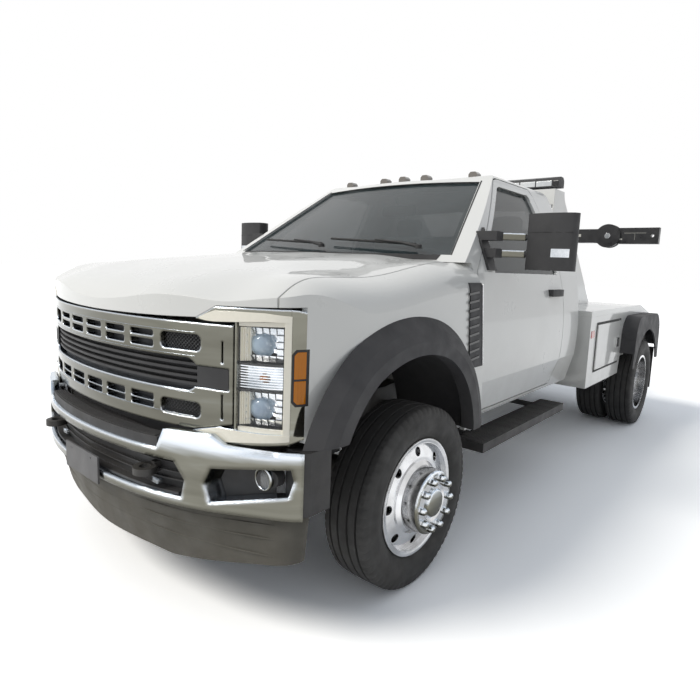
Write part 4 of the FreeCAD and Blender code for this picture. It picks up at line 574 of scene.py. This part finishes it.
def tyres():
    """Single tyres in front, and twin tyres that turn together behind."""
    for side, flip in SIDES:
        obj = tyre(FRONT_MIDDLE, AXLE_Y).make("tyre_tread_front_" + side, RUBBER, "tyre_rubber",
                                              "wheel_front_" + side, flip, smooth=28)
        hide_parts("tyre_front_" + side)
        twin, other = (tyre(middle, REAR_Y) for middle in TWIN_MIDDLES)
        twin.add(other.verts, other.faces)
        obj = twin.make("tyre_treads_rear_" + side, RUBBER, "tyre_rubber", "wheels_rear_" + side, flip, smooth=28)
        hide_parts("tyres_rear_" + side)


# Curved front
class Curve:
    """A symmetric plan curve in millimetres: X, and distance behind the front axle."""

    def __init__(self, points):
        whole = [(-x, y) for x, y in reversed(points[1:])] + list(points)
        self.dense = []
        last = len(whole) - 1
        for i in range(last):
            p0, p1, p2, p3 = whole[max(i - 1, 0)], whole[i], whole[i + 1], whole[min(i + 2, last)]
            for k in range(10):
                t = k / 10
                self.dense.append(tuple(
                    0.5 * (2 * b + (c - a) * t + (2 * a - 5 * b + 4 * c - d) * t * t
                           + (3 * b - a - 3 * c + d) * t ** 3) for a, b, c, d in zip(p0, p1, p2, p3)))
        self.dense.append(whole[-1])

    def place(self, x, z, depth):
        """The point at X and height z, so far inside the skin."""
        rows = self.dense
        i = 0
        while i < len(rows) - 2 and rows[i + 1][0] < x:
            i += 1
        (x0, y0), (x1, y1) = rows[i], rows[i + 1]
        slope = (y1 - y0) / max(x1 - x0, 0.5)
        y = y0 + slope * (x - x0)
        size = math.hypot(slope, 1)
        return Vector(((x - slope / size * depth) / 1000, at(y + depth / size), z / 1000))

    def skin(self, shape, columns, first, last, step=16):
        """A slab between two depths; columns are (X, low Z, high Z)."""
        rows = []
        for (x0, a0, b0), (x1, a1, b1) in zip(columns, columns[1:]):
            count = max(1, math.ceil(abs(x1 - x0) / step))
            for k in range(count):
                t = k / count
                rows.append((x0 + (x1 - x0) * t, a0 + (a1 - a0) * t, b0 + (b1 - b0) * t))
        rows.append(columns[-1])
        shape.loft([[self.place(x, z, depth) for z, depth in ((a, first), (b, first), (b, last), (a, last))]
                    for x, a, b in rows])

    def slabs(self, table):
        """A new shape of several slabs."""
        shape = Shape()
        for slab in table:
            self.skin(shape, *slab)
        return shape


FRONT = Curve(((0, -930), (170, -923), (340, -903), (500, -870), (625, -832), (750, -791), (862, -738), (924, -690),
               (958, -625), (1002, -470), (1012, -330)))
BUMPER = Curve(((0, -985), (350, -955), (560, -900), (750, -815), (880, -740), (960, -690), (1003, -640)))


# Headlamp slabs in millimetres: columns of X, low Z and high Z, then the two depths and the widest step
LAMP_HOUSING = (
    ([(757, 762, 1240), (860, 770, 1240), (950, 782, 1232)], 84, 116),
    ([(590, 783, 790), (631, 744, 800), (757, 757, 824)], 20, 100),
    ([(602, 1197, 1203), (640, 1193, 1224), (677, 1191, 1243), (757, 1192, 1245)], 20, 100),
    ([(757, 758, 1245), (763, 758, 1245)], 6, 90),
    ([(757, 768, 828), (928, 782, 822)], 14, 90),
    ([(757, 1186, 1244), (928, 1186, 1242)], 14, 90),
    ([(765, 955, 963), (914, 955, 963)], 16, 90),
    ([(765, 1048, 1056), (914, 1048, 1056)], 16, 90),
    ([(914, 820, 1190), (918, 820, 1190)], 16, 90),
)
LAMP_BEZEL = (
    ([(590, 784, 789), (631, 743, 801), (700, 750, 817), (757, 757, 815), (860, 768, 812),
      (930, 776, 812)], 0, 20, 10),
    ([(602, 1197, 1203), (640, 1192, 1224), (677, 1191, 1245), (757, 1196, 1247), (860, 1204, 1248),
      (930, 1204, 1248)], 0, 20, 10),
    ([(930, 776, 1248), (944, 784, 1246), (957, 792, 1238)], 0, 20, 6),
    ([(956, 790, 1236), (964, 794, 1010), (973, 797, 850)], 3, 14, 4),
    ([(758, 812, 1198), (765, 812, 1198)], 0, 24),
)
LAMP_GUIDE = (
    ([(915, 806, 1210), (931, 800, 1218)], -2, 22),
    ([(616, 1199, 1204), (645, 1194, 1219), (680, 1193, 1232), (757, 1197, 1234), (860, 1204, 1234),
      (931, 1204, 1226)], -2.5, 6, 10),
    ([(768, 1184, 1198), (918, 1188, 1205)], 8, 22),
    ([(606, 785, 788), (636, 756, 799), (700, 762, 815), (757, 769, 813), (860, 780, 811),
      (931, 788, 812)], -2.5, 6, 10),
    ([(768, 812, 828), (918, 811, 826)], 8, 22),
)
SIDE_MARKER = (
    ([(937, 933, 1003), (943, 921, 1003), (955, 921, 1003)], -3, 8, 4),
    ([(937, 1010, 1092), (943, 1010, 1104), (955, 1010, 1104)], -3, 8, 4),
)
MARKER_RIM = (
    ([(932, 929, 1096), (940, 912, 1113), (959, 912, 1113)], -1, 10, 4),
)
LAMP_CHAMBERS = ((832, 951), (1060, 1180))
CHAMBER_START = 768
CHAMBER_WIDTH = 144
CHAMBER_COLUMNS = 6
CHAMBER_ROWS = 5
CHAMBER_RIM = 34
CHAMBER_HOLLOW = 40
DOME_X = 838
DOME = ((-0.012, 0.0), (-0.012, 0.044), (0.004, 0.046), (0.006, 0.041), (0.008, 0.0395), (0.020, 0.034),
        (0.028, 0.022), (0.031, 0.008), (0.0315, 0.0))
BULB = ((0.0, 0.0), (-0.002, 0.010), (-0.010, 0.015), (-0.020, 0.014), (-0.030, 0.008), (-0.030, 0.0))


def chamber_tiles(bowl, low, high):
    """Reflector tiles that lie deeper towards the middle of a chamber."""
    for i in range(CHAMBER_COLUMNS):
        x0, x1 = (CHAMBER_START + CHAMBER_WIDTH * k / CHAMBER_COLUMNS for k in (i, i + 1))
        for j in range(CHAMBER_ROWS):
            z0, z1 = (low + (high - low) * k / CHAMBER_ROWS for k in (j, j + 1))
            off_middle = max(abs((i + 0.5) / CHAMBER_COLUMNS - 0.5), abs((j + 0.5) / CHAMBER_ROWS - 0.5))
            deep = CHAMBER_RIM + CHAMBER_HOLLOW * (1 - off_middle * 2)
            corners = [(x0 + 1, z0 + 1, deep), (x1 - 1, z0 + 1, deep - 5), (x1 - 1, z1 - 1, deep - 12),
                       (x0 + 1, z1 - 1, deep - 7)]
            bowl.loft([[FRONT.place(x, z, depth + more) for x, z, depth in corners] for more in (0, 8)])


def headlamps():
    """Headlamps: housing, C-shaped bezel and guide, two chambers, a ribbed strip and an amber marker."""
    piece = FRONT.slabs(LAMP_HOUSING).both().make("headlamp_housings", GLOSS, "lamp_lens", bevel=0.0015)
    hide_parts("headlamps")
    FRONT.slabs(LAMP_BEZEL).both().make("headlamp_bezels", CHROME, "polished", bevel=0.004, segments=3)
    FRONT.slabs(LAMP_GUIDE).both().make("headlamp_guides", GUIDE, "lamp_lens", bevel=0.002)
    FRONT.slabs(SIDE_MARKER).both().make("side_markers", AMBER, "amber_lens", bevel=0.002, segments=3)
    FRONT.slabs(MARKER_RIM).both().make("side_marker_rims", SEAL, "black_plastic", bevel=0.001)
    bowl, dome, flutes = Shape(), Shape(), Shape()
    for low, high in LAMP_CHAMBERS:
        chamber_tiles(bowl, low, high)
        middle = (low + high) / 2
        centre = FRONT.place(DOME_X, middle, 52)
        ahead = (FRONT.place(DOME_X, middle, 0) - centre).normalized()
        turn = Matrix.Translation(centre) @ Vector((1, 0, 0)).rotation_difference(ahead).to_matrix().to_4x4()
        dome.lathe(DOME, (0, 0, 0), "x", 40, turn=turn)
        for k in range(5):
            x = 769 + 6.5 * k
            FRONT.skin(flutes, [(x, low, high), (x + 4, low, high)], 18 + 4 * k, 32 + 4 * k)
    bowl.both().make("headlamp_reflectors", REFLECTOR, "polished", smooth=0)
    dome.both().make("headlamp_projectors", PROJECTOR, "lamp_lens")
    strip = FRONT.slabs([([(768, z, z + 4), (912, z, z + 4)], 18, 46) for z in (968 + 9.4 * k for k in range(9))])
    FRONT.skin(strip, [(768, 963, 1049), (912, 963, 1049)], 46, 52)
    strip.both().make("headlamp_ribs", REFLECTOR, "polished")
    # The flutes take the light guide's faintly glowing material, a painted highlight on ribs that give no light.
    flutes.both().make("headlamp_flutes", GUIDE, "lamp_lens", bevel=0.001)
    bulb = Shape().lathe(BULB, FRONT.place(846, 1006, 30) + Vector((0, 0.02, 0)), "y", 24)
    bulb.both().make("headlamp_bulbs", AMBER, "amber_lens")
    cover = FRONT.slabs([([(766, 828, 1184), (914, 826, 1188)], 2, 5, 10)])
    cover.both().make("headlamp_covers", COVER, "lamp_lens")


INSERT_HEIGHTS = ((835, 892), (1080, 1140))
INSERT_START = 443
INSERT_END = 622
WIRE_PITCH = 15.0
WIRE_RADIUS = 0.0022
LINE_HEIGHTS = (1146, 1060, 925, 838)


def grille_details():
    """Crossed wires in the grille's inserts, and the fine lines along its frame."""
    mesh = Shape()
    for low, high in INSERT_HEIGHTS:
        tall = high - low
        for lean in (-1, 1):
            x = INSERT_START - 2 - tall
            while x < INSERT_END + 1 + tall:
                points = []
                for t in spaced(0, 1, 8):
                    here = x + lean * tall * t
                    if INSERT_START <= here <= INSERT_END:
                        points.append(FRONT.place(here, low + tall * t, 20))
                if len(points) > 1:
                    mesh.tube(points, WIRE_RADIUS, 5)
                x += WIRE_PITCH
    mesh.both().make("grille_honeycomb", GLOSS, "black_plastic", smooth=60)
    lines = FRONT.slabs([([(-600, z, z + 3), (600, z, z + 3)], -1.5, 3) for z in LINE_HEIGHTS])
    lines.make("grille_lines", DARK_CHROME, "polished", bevel=0.0008)


def bumper_details():
    """Step pad ribs, fog lamps, and the bars and backing in the bumper's mouth."""
    ribs = BUMPER.slabs([([(-462, 748, 751.5), (462, 748, 751.5)], deep, deep + 4) for deep in range(18, 64, 9)])
    ribs.make("step_pad_ribs", BLACK, "black_plastic")
    lamp_x, lamp_z = 868, 646
    centre = BUMPER.place(lamp_x, lamp_z, 26)
    for name, look, slot, profile in (
            ("fog_lamp_rims", CHROME, "polished",
             [(0.010, 0.040), (-0.006, 0.044), (-0.010, 0.042), (-0.010, 0.036), (0.004, 0.034)]),
            ("fog_lamp_bowls", DARK_CHROME, "polished",
             [(0.016, 0.0), (0.013, 0.022), (0.0, 0.034), (-0.002, 0.034)]),
            ("fog_lamp_lenses", CLEAR, "lamp_lens",
             [(-0.003, 0.035), (-0.008, 0.030), (-0.011, 0.018), (-0.012, 0.0)])):
        Shape().lathe(profile, centre, "y", 40).both().make(name, look, slot)
    bars = Shape()
    for low, high in ((538, 546), (672, 680)):
        BUMPER.skin(bars, [(-560, low, high), (560, low, high)], 24, 60)
    for z in (575, 605, 640):
        BUMPER.skin(bars, [(-585, z, z + 5), (585, z, z + 5)], 52, 62)
    BUMPER.skin(bars, [(-588, 536, 682), (588, 536, 682)], 66, 70)
    FRONT.skin(bars, [(-588, 690, 800), (588, 690, 800)], 52, 56)
    bars.make("bumper_mouth_bars", BLACK, "black_plastic", bevel=0.001)


# The valance's plan: shares of its width and depths, and at its top the way it is inset
VALANCE_TOP = ((0, 0, 0, 1), (0.346, 30, -0.17, 0.98), (0.553, 85, -0.33, 0.94), (0.741, 170, -0.45, 0.89),
               (0.870, 245, -0.51, 0.86), (0.949, 295, -0.65, 0.76))
VALANCE_FOOT = ((0, 100), (0.346, 139), (0.520, 170), (0.700, 222), (0.830, 262), (0.900, 285))
VALANCE_TOP_Z = 507.7
VALANCE_HEIGHT = 267.7
VALANCE_INSET = 25
VALANCE_HALF = 1012


def valance_ribs():
    """Raised lines along the valance under the bumper."""
    ribs = Shape()
    for z in (352, 418, 470):
        t = (VALANCE_TOP_Z - z) / VALANCE_HEIGHT
        points = []
        for (share, deep, aside, behind), (low_share, low_deep) in zip(VALANCE_TOP, VALANCE_FOOT):
            x = (VALANCE_HALF * share + VALANCE_INSET * aside) * (1 - t) + VALANCE_HALF * low_share * t
            points.append((x, (deep + VALANCE_INSET * behind) * (1 - t) + low_deep * t - 985))
        Curve(points).skin(ribs, [(-890, z, z + 7), (890, z, z + 7)], -3, 6)
    ribs.make("valance_ribs", VALANCE, "black_plastic", bevel=0.0015)


# The windscreen in millimetres: its foot, how it leans back, how its sides sweep back, and its normal
SCREEN_START = 451
SCREEN_FOOT = 1512
SCREEN_LEAN = 1.521
SCREEN_SWEEP = 197
SCREEN_HALF = 1100
SCREEN_NORMAL = (0.55, 0.83)


def screen(x, z, out):
    """A place so many millimetres outside the windscreen."""
    y = SCREEN_START + (z - SCREEN_FOOT) * SCREEN_LEAN + SCREEN_SWEEP * (x / SCREEN_HALF) ** 2
    return Vector((x / 1000, at(y - out * SCREEN_NORMAL[0]), (z + out * SCREEN_NORMAL[1]) / 1000))


def screen_strip(shape, edges, near, far):
    """A strip on the windscreen: pairs of (X, height), and its two distances outside the glass."""
    shape.loft([[screen(*first, near), screen(*last, near), screen(*last, far), screen(*first, far)]
                for first, last in edges])


def screen_posts(shape, heights, widths, slope, near, far):
    """A strip up each side of the windscreen; widths are its inner and outer X at its foot."""
    for side in (-1, 1):
        edges = []
        for z in heights:
            inner, outer = (side * (width - (z - heights[0]) * slope) for width in widths)
            edges.append(((inner, z), (outer, z)))
        screen_strip(shape, edges, near, far)


def glass_surround():
    """Bands behind the windscreen's edges, its trim, the wipers and the inside mirror."""
    band = Shape()
    for low, high in ((1484, 1512), (1926, 1950)):
        half = 828 - (low - 1484) * 0.43
        screen_strip(band, [((x, low), (x, high)) for x in spaced(-half, half, 40)], -28, -31)
    screen_posts(band, spaced(1496, 1936, 20), (790, 824), 0.432, -28, -31)
    band.make("windscreen_band", SEAL, "black_plastic")
    trim = Shape()
    screen_strip(trim, [((x, 1448), (x, 1474)) for x in spaced(-790, 790, 40)], 2, 5)
    screen_posts(trim, spaced(1476, 1960, 16), (839, 846), 0.430, 1, 3)
    trim.make("windscreen_trim", SEAL, "black_plastic")
    arms, blades = Shape(), Shape()
    for x0, x1, z1 in ((660, 60, 1548), (20, -600, 1546)):
        pivot = screen(x0, 1496, 26)
        tip = screen((x0 + x1) / 2, 1534, 26)
        arms.tube([pivot, pivot.lerp(tip, 0.35) + Vector((0, -0.004, 0.008)), tip], [0.011, 0.008, 0.005], 8)
        arms.lathe([(-0.006, 0.0), (-0.006, 0.019), (0.012, 0.017), (0.018, 0.008), (0.018, 0.0)],
                   pivot - Vector((0, 0, 0.004)), "z", 20)
        blades.tube([screen(x0 - 40 + (x1 - x0) * t, 1518 + (z1 - 1518) * t, 17) for t in spaced(0, 1, 12)],
                    0.0075, 6)
    arms.make("wiper_arms", SEAL, "black_plastic")
    blades.make("wiper_blades", FLAP, "flap_rubber")
    inside = Shape()
    outline = [(-0.13, -0.035), (0.13, -0.035), (0.14, 0.0), (0.125, 0.035), (-0.125, 0.035), (-0.14, 0.0)]
    inside.prism(outline, 0, 0.03, "y", Matrix.Translation((0, at(1205), 1.80)))
    inside.tube([(0, at(1212), 1.82), (0, at(1180), 1.885)], 0.008, 8)
    inside.make("inside_mirror", SEAL, "black_plastic", bevel=0.006)


def shell_strip(line, low, high, before, behind):
    """A thin strip round the mirror's shell; the line is (X, distance behind the front axle)."""
    shape = Shape()
    shape.loft([[(x / 1000, at(y - before), low), (x / 1000, at(y - before), high),
                 (x / 1000, at(y + behind), high), (x / 1000, at(y + behind), low)] for x, y in line])
    return shape


def mirror_details():
    """Mirror glass, the lamp strip, the shell's split line and bright covers over the two arms."""
    for name, x0, x1, z0, z1 in (("mirror_pane", 1.108, 1.308, 1.505, 1.700),
                                 ("mirror_low_pane", 1.112, 1.306, 1.430, 1.496)):
        pane = Shape().block(x0, x1, 957.5, 964.5, z0, z1)
        pair(pane, name, DARK_CHROME, "polished", "door_SIDE", bevel=0.003)
    strip = shell_strip([(1228, 848.5), (1260, 852), (1310, 864), (1330, 880)], 1.487, 1.530, 2, 4)
    pair(strip, "mirror_lamp", REFLECTOR, "lamp_lens", "door_SIDE")
    line = [(1094, 866), (1140, 853), (1200, 845), (1260, 851), (1322, 867), (1338, 892)]
    pair(shell_strip(line, 1.612, 1.616, 1, 6), "mirror_split", SEAL, "black_plastic", "door_SIDE")
    cover = Shape()
    for z in (1.500, 1.590):
        cover.prism([(0.975, at(784)), (1.085, at(862)), (1.085, at(884)), (0.975, at(812))], z - 0.019, z + 0.019,
                    "z")
    pair(cover, "mirror_arm_cover", CHROME, "polished", "door_SIDE", bevel=0.006)


def body_details():
    """Vent louvers, board ribs, reflectors, box seals, latches and tail lamps."""
    vent = Shape()
    for z in (0.955 + 0.041 * k for k in range(9)):
        # Louvers start at the vent's slanted edge
        y = 488 - 62 * (z - 0.918) / 0.426
        vent.prism([(at(y - 40), z), (at(y + 62), z + 0.010), (at(y + 62), z + 0.022), (at(y - 40), z + 0.012)],
                   1.018, 1.0225)
    vent.both().make("vent_louvers", GLOSS, "black_plastic")
    edge = Shape().prism([(at(588), 0.925), (at(594), 0.925), (at(532), 1.338), (at(526), 1.338)], 1.018, 1.023)
    edge.both().make("vent_edges", ALLOY, "alloy")
    board = Shape()
    for k in range(11):
        x = 0.884 + 0.0135 * k
        board.block(x, x + 0.005, 650, 1890, 0.489, 0.4925)
    for y in range(700, 1900, 110):
        board.block(0.878, 1.030, y, y + 5, 0.489, 0.4918)
    board.both().make("running_board_ribs", BLACK, "alloy")
    reflector = Shape().block(1.0785, 1.0825, 2262, 2340, 0.930, 0.985)
    # The red lens material glows faintly; on this reflector, which gives no light, the glow is painted light.
    reflector.both().make("side_reflectors", RED, "amber_lens", bevel=0.0015)
    seal = Shape()
    for y0, y1, z0, z1 in ((2392, 2404, 0.653, 1.042), (3100, 3112, 0.653, 1.042), (2404, 3100, 0.653, 0.665),
                           (2404, 3100, 1.030, 1.042)):
        seal.block(1.0785, 1.0815, y0, y1, z0, z1)
    seal.both().make("box_door_seals", SEAL, "flap_rubber")
    latch = Shape().block(1.0935, 1.096, 2968, 3052, 0.800, 0.880)
    pair(latch, "box_latch_plate", ALLOY, "alloy", "box_door_SIDE", bevel=0.002)
    corners = [(at(2985), 0.815), (at(3038), 0.815), (at(3034), 0.864), (at(2989), 0.864)]
    paddle = Shape().prism(corners, 1.0955, 1.099)
    pair(paddle, "box_latch_paddle", SEAL, "black_plastic", "box_door_SIDE", bevel=0.001)
    tail = Shape()
    for x0, x1 in ((0.778, 0.850), (0.858, 0.930)):
        tail.block(x0, x1, 4274, 4281, 0.880, 0.976)
    tail.both().make("tail_lenses", RED, "amber_lens", bevel=0.004)
    white = Shape().block(0.938, 1.012, 4274, 4281, 0.880, 0.976)
    white.both().make("reversing_lenses", CLEAR, "lamp_lens", bevel=0.004)
    trim = Shape().block(-1.070, 1.070, 4236, 4251.5, 0.868, 0.874)
    trim.make("tail_drip_edge", ALLOY, "alloy", bevel=0.001)


def light_bar_modules():
    """Clear modules with two amber ones along the light bar, between black end plates."""
    def section(grow):
        """Half an octagon over the bar, larger by some millimetres."""
        front, back = at(2338.5 - grow), at(2456.5 + grow)
        shoulder = 2.149 + grow * 0.0007
        return [(front, 2.084), (front, 2.122), (at(2358 - grow * 0.7), shoulder),
                (at(2397.5), 2.1535 + grow * 0.0009), (at(2437 + grow * 0.7), shoulder), (back, 2.122),
                (back, 2.084)]

    amber, clear, ends = Shape(), Shape(), Shape()
    for k in range(10):
        x = -0.66 + 0.132 * k
        (amber if k in (3, 6) else clear).prism(section(2.5), x + 0.004, x + 0.128)
    for x0, x1 in ((-0.711, -0.664), (0.664, 0.711)):
        ends.prism(section(3.2), x0, x1)
    amber.make("light_bar_amber", AMBER, "amber_lens", bevel=0.003)
    clear.make("light_bar_clear", BAR_LENS, "lamp_lens", bevel=0.003)
    ends.make("light_bar_ends", GLOSS, "black_plastic", bevel=0.006)


PIN_X = 0.553
PIN_Z = 1.84
CLAW_TOP = 1.9255
NUTS = 10


def lift_details():
    """Labels and pin heads on the lift's crossbar, scale marks and labels on its claws."""
    labels = Shape()
    for x0, x1, z0 in ((-0.10, 0.10, 1.82), (0.21, 0.27, 1.83), (-0.27, -0.21, 1.83)):
        labels.block(x0, x1, 4443.5, 4446, z0, 1.86)
    labels.make("crossbar_labels", LABEL, "grey_plastic", "crossbar")
    heads = Shape()
    for side in (-1, 1):
        for y, reach in ((4443, -0.012), (4557, 0.0055)):
            heads.lathe([(0, 0), (0, 0.034), (reach, 0.032), (reach, 0.0)], (side * PIN_X, at(y), PIN_Z), "y", 6)
    heads.make("claw_pin_heads", ROD, "bright_rod", "crossbar", bevel=0.002, smooth=20)
    marks = Shape()
    for k in range(11):
        x = 0.64 + 0.036 * k
        marks.block(x - 0.0015, x + 0.0015, 4466, 4486 if k % 5 else 4500, CLAW_TOP, 1.9267)
    pair(marks, "claw_marks", LABEL, "grey_plastic", "claw_SIDE")
    patch = Shape()
    for x0, x1, z0, z1 in ((0.655, 0.700, 1.795, 1.812), (0.715, 0.930, 1.868, 1.871), (0.820, 0.822, 1.795, 1.864)):
        patch.block(x0, x1, 4461.8, 4463.4, z0, z1)
    pair(patch, "claw_label", LABEL, "grey_plastic", "claw_SIDE")


def nut_ring(shape, axle_y, radius, offset, parts):
    """Wheel nuts on a circle; parts are (profile, number of sides)."""
    for turn in turns(NUTS, offset):
        centre = (0, axle_y + radius * math.cos(turn), AXLE_Z + radius * math.sin(turn))
        for profile, count in parts:
            shape.lathe(profile, centre, "x", count)


def wheel_details():
    """Polished hub covers, wheel nuts and rim lips."""
    front = (0, AXLE_Y, AXLE_Z)
    nut = [(1.118, 0.0175), (1.130, 0.0165), (1.146, 0.0155), (1.153, 0.011), (1.1555, 0.0)]
    washer = [(1.119, 0.023), (1.124, 0.0225), (1.1245, 0.016)]
    rear_nut = [(0.980, 0.0175), (0.992, 0.0165), (1.004, 0.0155), (1.010, 0.011), (1.0125, 0.0)]
    hub = Shape()
    hub.lathe([(1.110, 0.136), (1.1165, 0.139), (1.1225, 0.136), (1.1255, 0.126), (1.1250, 0.120)], front, "x", 80)
    hub.lathe([(1.114, 0.060), (1.128, 0.062), (1.134, 0.056), (1.136, 0.040), (1.137, 0.0)], front, "x", 64)
    nut_ring(hub, AXLE_Y, 0.108, 0, ((nut, 6), (washer, 24)))
    pair(hub, "front_hub_trim", CHROME, "polished", "wheel_front_SIDE", smooth=30)
    lip = [(1.040, 0.250), (1.0455, 0.2605), (1.0475, 0.2600), (1.0475, 0.2500), (1.042, 0.2400)]
    pair(Shape().lathe(lip, front, "x", 96), "front_rim_lip", ALLOY, "alloy", "wheel_front_SIDE", smooth=40)
    rear = Shape().lathe([(1.062, 0.082), (1.068, 0.0825), (1.072, 0.078), (1.073, 0.060), (1.073, 0.0)],
                         (0, REAR_Y, AXLE_Z), "x", 56)
    nut_ring(rear, REAR_Y, 0.143, 0.5, ((rear_nut, 6),))
    pair(rear, "rear_hub_trim", CHROME, "polished", "wheels_rear_SIDE", smooth=30)


def head_restraints():
    """Two head restraints on posts above the bench's backrest."""
    outline = [[math.copysign(abs(part) ** 0.55, part) for part in (math.cos(a), math.sin(a))] for a in turns(28)]
    pad = Shape()
    for x in (-0.45, 0.45):
        pad.loft([[(x + 0.128 * grow * aside, at(1996) + depth, 1.745 + 0.082 * grow * up) for aside, up in outline]
                  for depth, grow in ((0.0, 0.80), (0.014, 0.96), (0.034, 1.0), (0.052, 0.95), (0.066, 0.78))])
        for post in (x - 0.05, x + 0.05):
            pad.tube([(post, at(2028), 1.60), (post, at(2028), 1.70)], 0.006, 8)
    return pad.make("head_restraints", CLOTH, "seat_cloth", smooth=60)


# Soft parts
VOXEL = 0.014
CUSHION_CLOTH = {"use_pressure": True, "uniform_pressure_force": 4.0, "quality": 6, "mass": 0.4,
                 "tension_stiffness": 18, "compression_stiffness": 18, "bending_stiffness": 1.2,
                 "vertex_group_mass": "held"}
FILL_FRAMES = 20
MOST_BULGE = 0.022
HELD_FOOT = 0.40
HELD_END = 0.012
CHANNEL_HALF = 0.009
END_TUCK = 0.055
END_DROP = 0.10


def blow_up(obj, wide, high):
    """Fills the cushion with pressure; its foot, ends and sewn channels are held."""
    still = obj.vertex_groups.new(name="held")
    for vert in obj.data.vertices:
        x, _y, z = vert.co
        foot = z < -HELD_FOOT * high
        channel = abs(abs(x) - wide / 6) < CHANNEL_HALF and z > 0
        end = abs(abs(x) - wide * 0.5) < HELD_END
        if foot or channel or end:
            still.add([vert.index], 1.0, "REPLACE")
    fill = obj.modifiers.new("fill", "CLOTH")
    for key, value in CUSHION_CLOTH.items():
        setattr(fill.settings, key, value)
    fill.settings.effector_weights.gravity = 0
    fill.collision_settings.use_collision = False
    fill.point_cache.frame_start = 1
    fill.point_cache.frame_end = FILL_FRAMES
    before = [vert.co.copy() for vert in obj.data.vertices]
    for step in range(1, FILL_FRAMES + 1):
        bpy.context.scene.frame_set(step)
    settle(obj)
    bpy.context.scene.frame_set(1)
    for vert, start in zip(obj.data.vertices, before):
        moved = vert.co - start
        if moved.length > MOST_BULGE:
            vert.co = start + moved * (MOST_BULGE / moved.length)
    smooth = obj.modifiers.new("fine", "SUBSURF")
    smooth.levels = 1
    smooth.render_levels = 1
    settle(obj)


def inflated(name, size, centre, lean):
    """A stuffed cushion: a rounded block that is blown up as cloth, then leant over by some degrees."""
    wide, deep, high = size
    work = bmesh.new()
    bmesh.ops.create_cube(work, size=1.0)
    bmesh.ops.bevel(work, geom=list(work.edges), offset=0.16, segments=3, profile=0.6, affect="EDGES")
    for vert in work.verts:
        x, y, z = vert.co
        off_middle = abs(x) * 2
        vert.co = (x * wide, y * deep * (1 - END_TUCK * off_middle ** 4), z * high * (1 - END_DROP * off_middle ** 6))
    mesh = bpy.data.meshes.new(name)
    work.to_mesh(mesh)
    work.free()
    obj = placed(name, mesh)
    remesh = obj.modifiers.new("even", "REMESH")
    remesh.mode = "VOXEL"
    remesh.voxel_size = VOXEL
    settle(obj)
    blow_up(obj, wide, high)
    obj.data.transform(Matrix.Translation(centre) @ Matrix.Rotation(math.radians(lean), 4, "X"))
    obj.data.materials.append(CLOTH)
    obj.data.shade_smooth()
    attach(obj, "truck")
    return obj


def settle(obj):
    """Turns an object's modifiers into its mesh."""
    graph = bpy.context.evaluated_depsgraph_get()
    mesh = bpy.data.meshes.new_from_object(obj.evaluated_get(graph))
    obj.modifiers.clear()
    obj.data = mesh


def seats():
    """Three-place bench: cushions and backrests with sewn channels and seams."""
    made = [head_restraints()]
    seams = Shape()
    for tag, x, wide in (("right", -0.535, 0.50), ("middle", 0.0, 0.52), ("left", 0.535, 0.50)):
        made.append(inflated("seat_cushion_" + tag, (wide, 0.50, 0.165), (x, at(1585), 1.065), -3))
        made.append(inflated("seat_back_" + tag, (wide * 0.90, 0.53, 0.120), (x * 0.90, at(1948), 1.405), -76))
        for channel in (-wide / 6, wide / 6):
            seams.tube([(x + channel, at(1370 + 430 * t), 1.142 + 0.0225 * (0.5 - t)) for t in spaced(0, 1, 10)],
                       0.0026, 6)
    seams.make("seat_seams", SEAL, "seat_cloth")
    base = Shape().block(-0.60, 0.60, 1400, 1800, 0.802, 0.975)
    base.make("seat_base", SEAL, "seat_cloth", bevel=0.01)
    for piece in made:
        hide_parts("seat_bench")


camera()
stage()
tyres()
headlamps()
grille_details()
bumper_details()
valance_ribs()
glass_surround()
mirror_details()
body_details()
light_bar_modules()
lift_details()
wheel_details()
seats()

bpy.context.scene.view_settings.view_transform = "Standard"
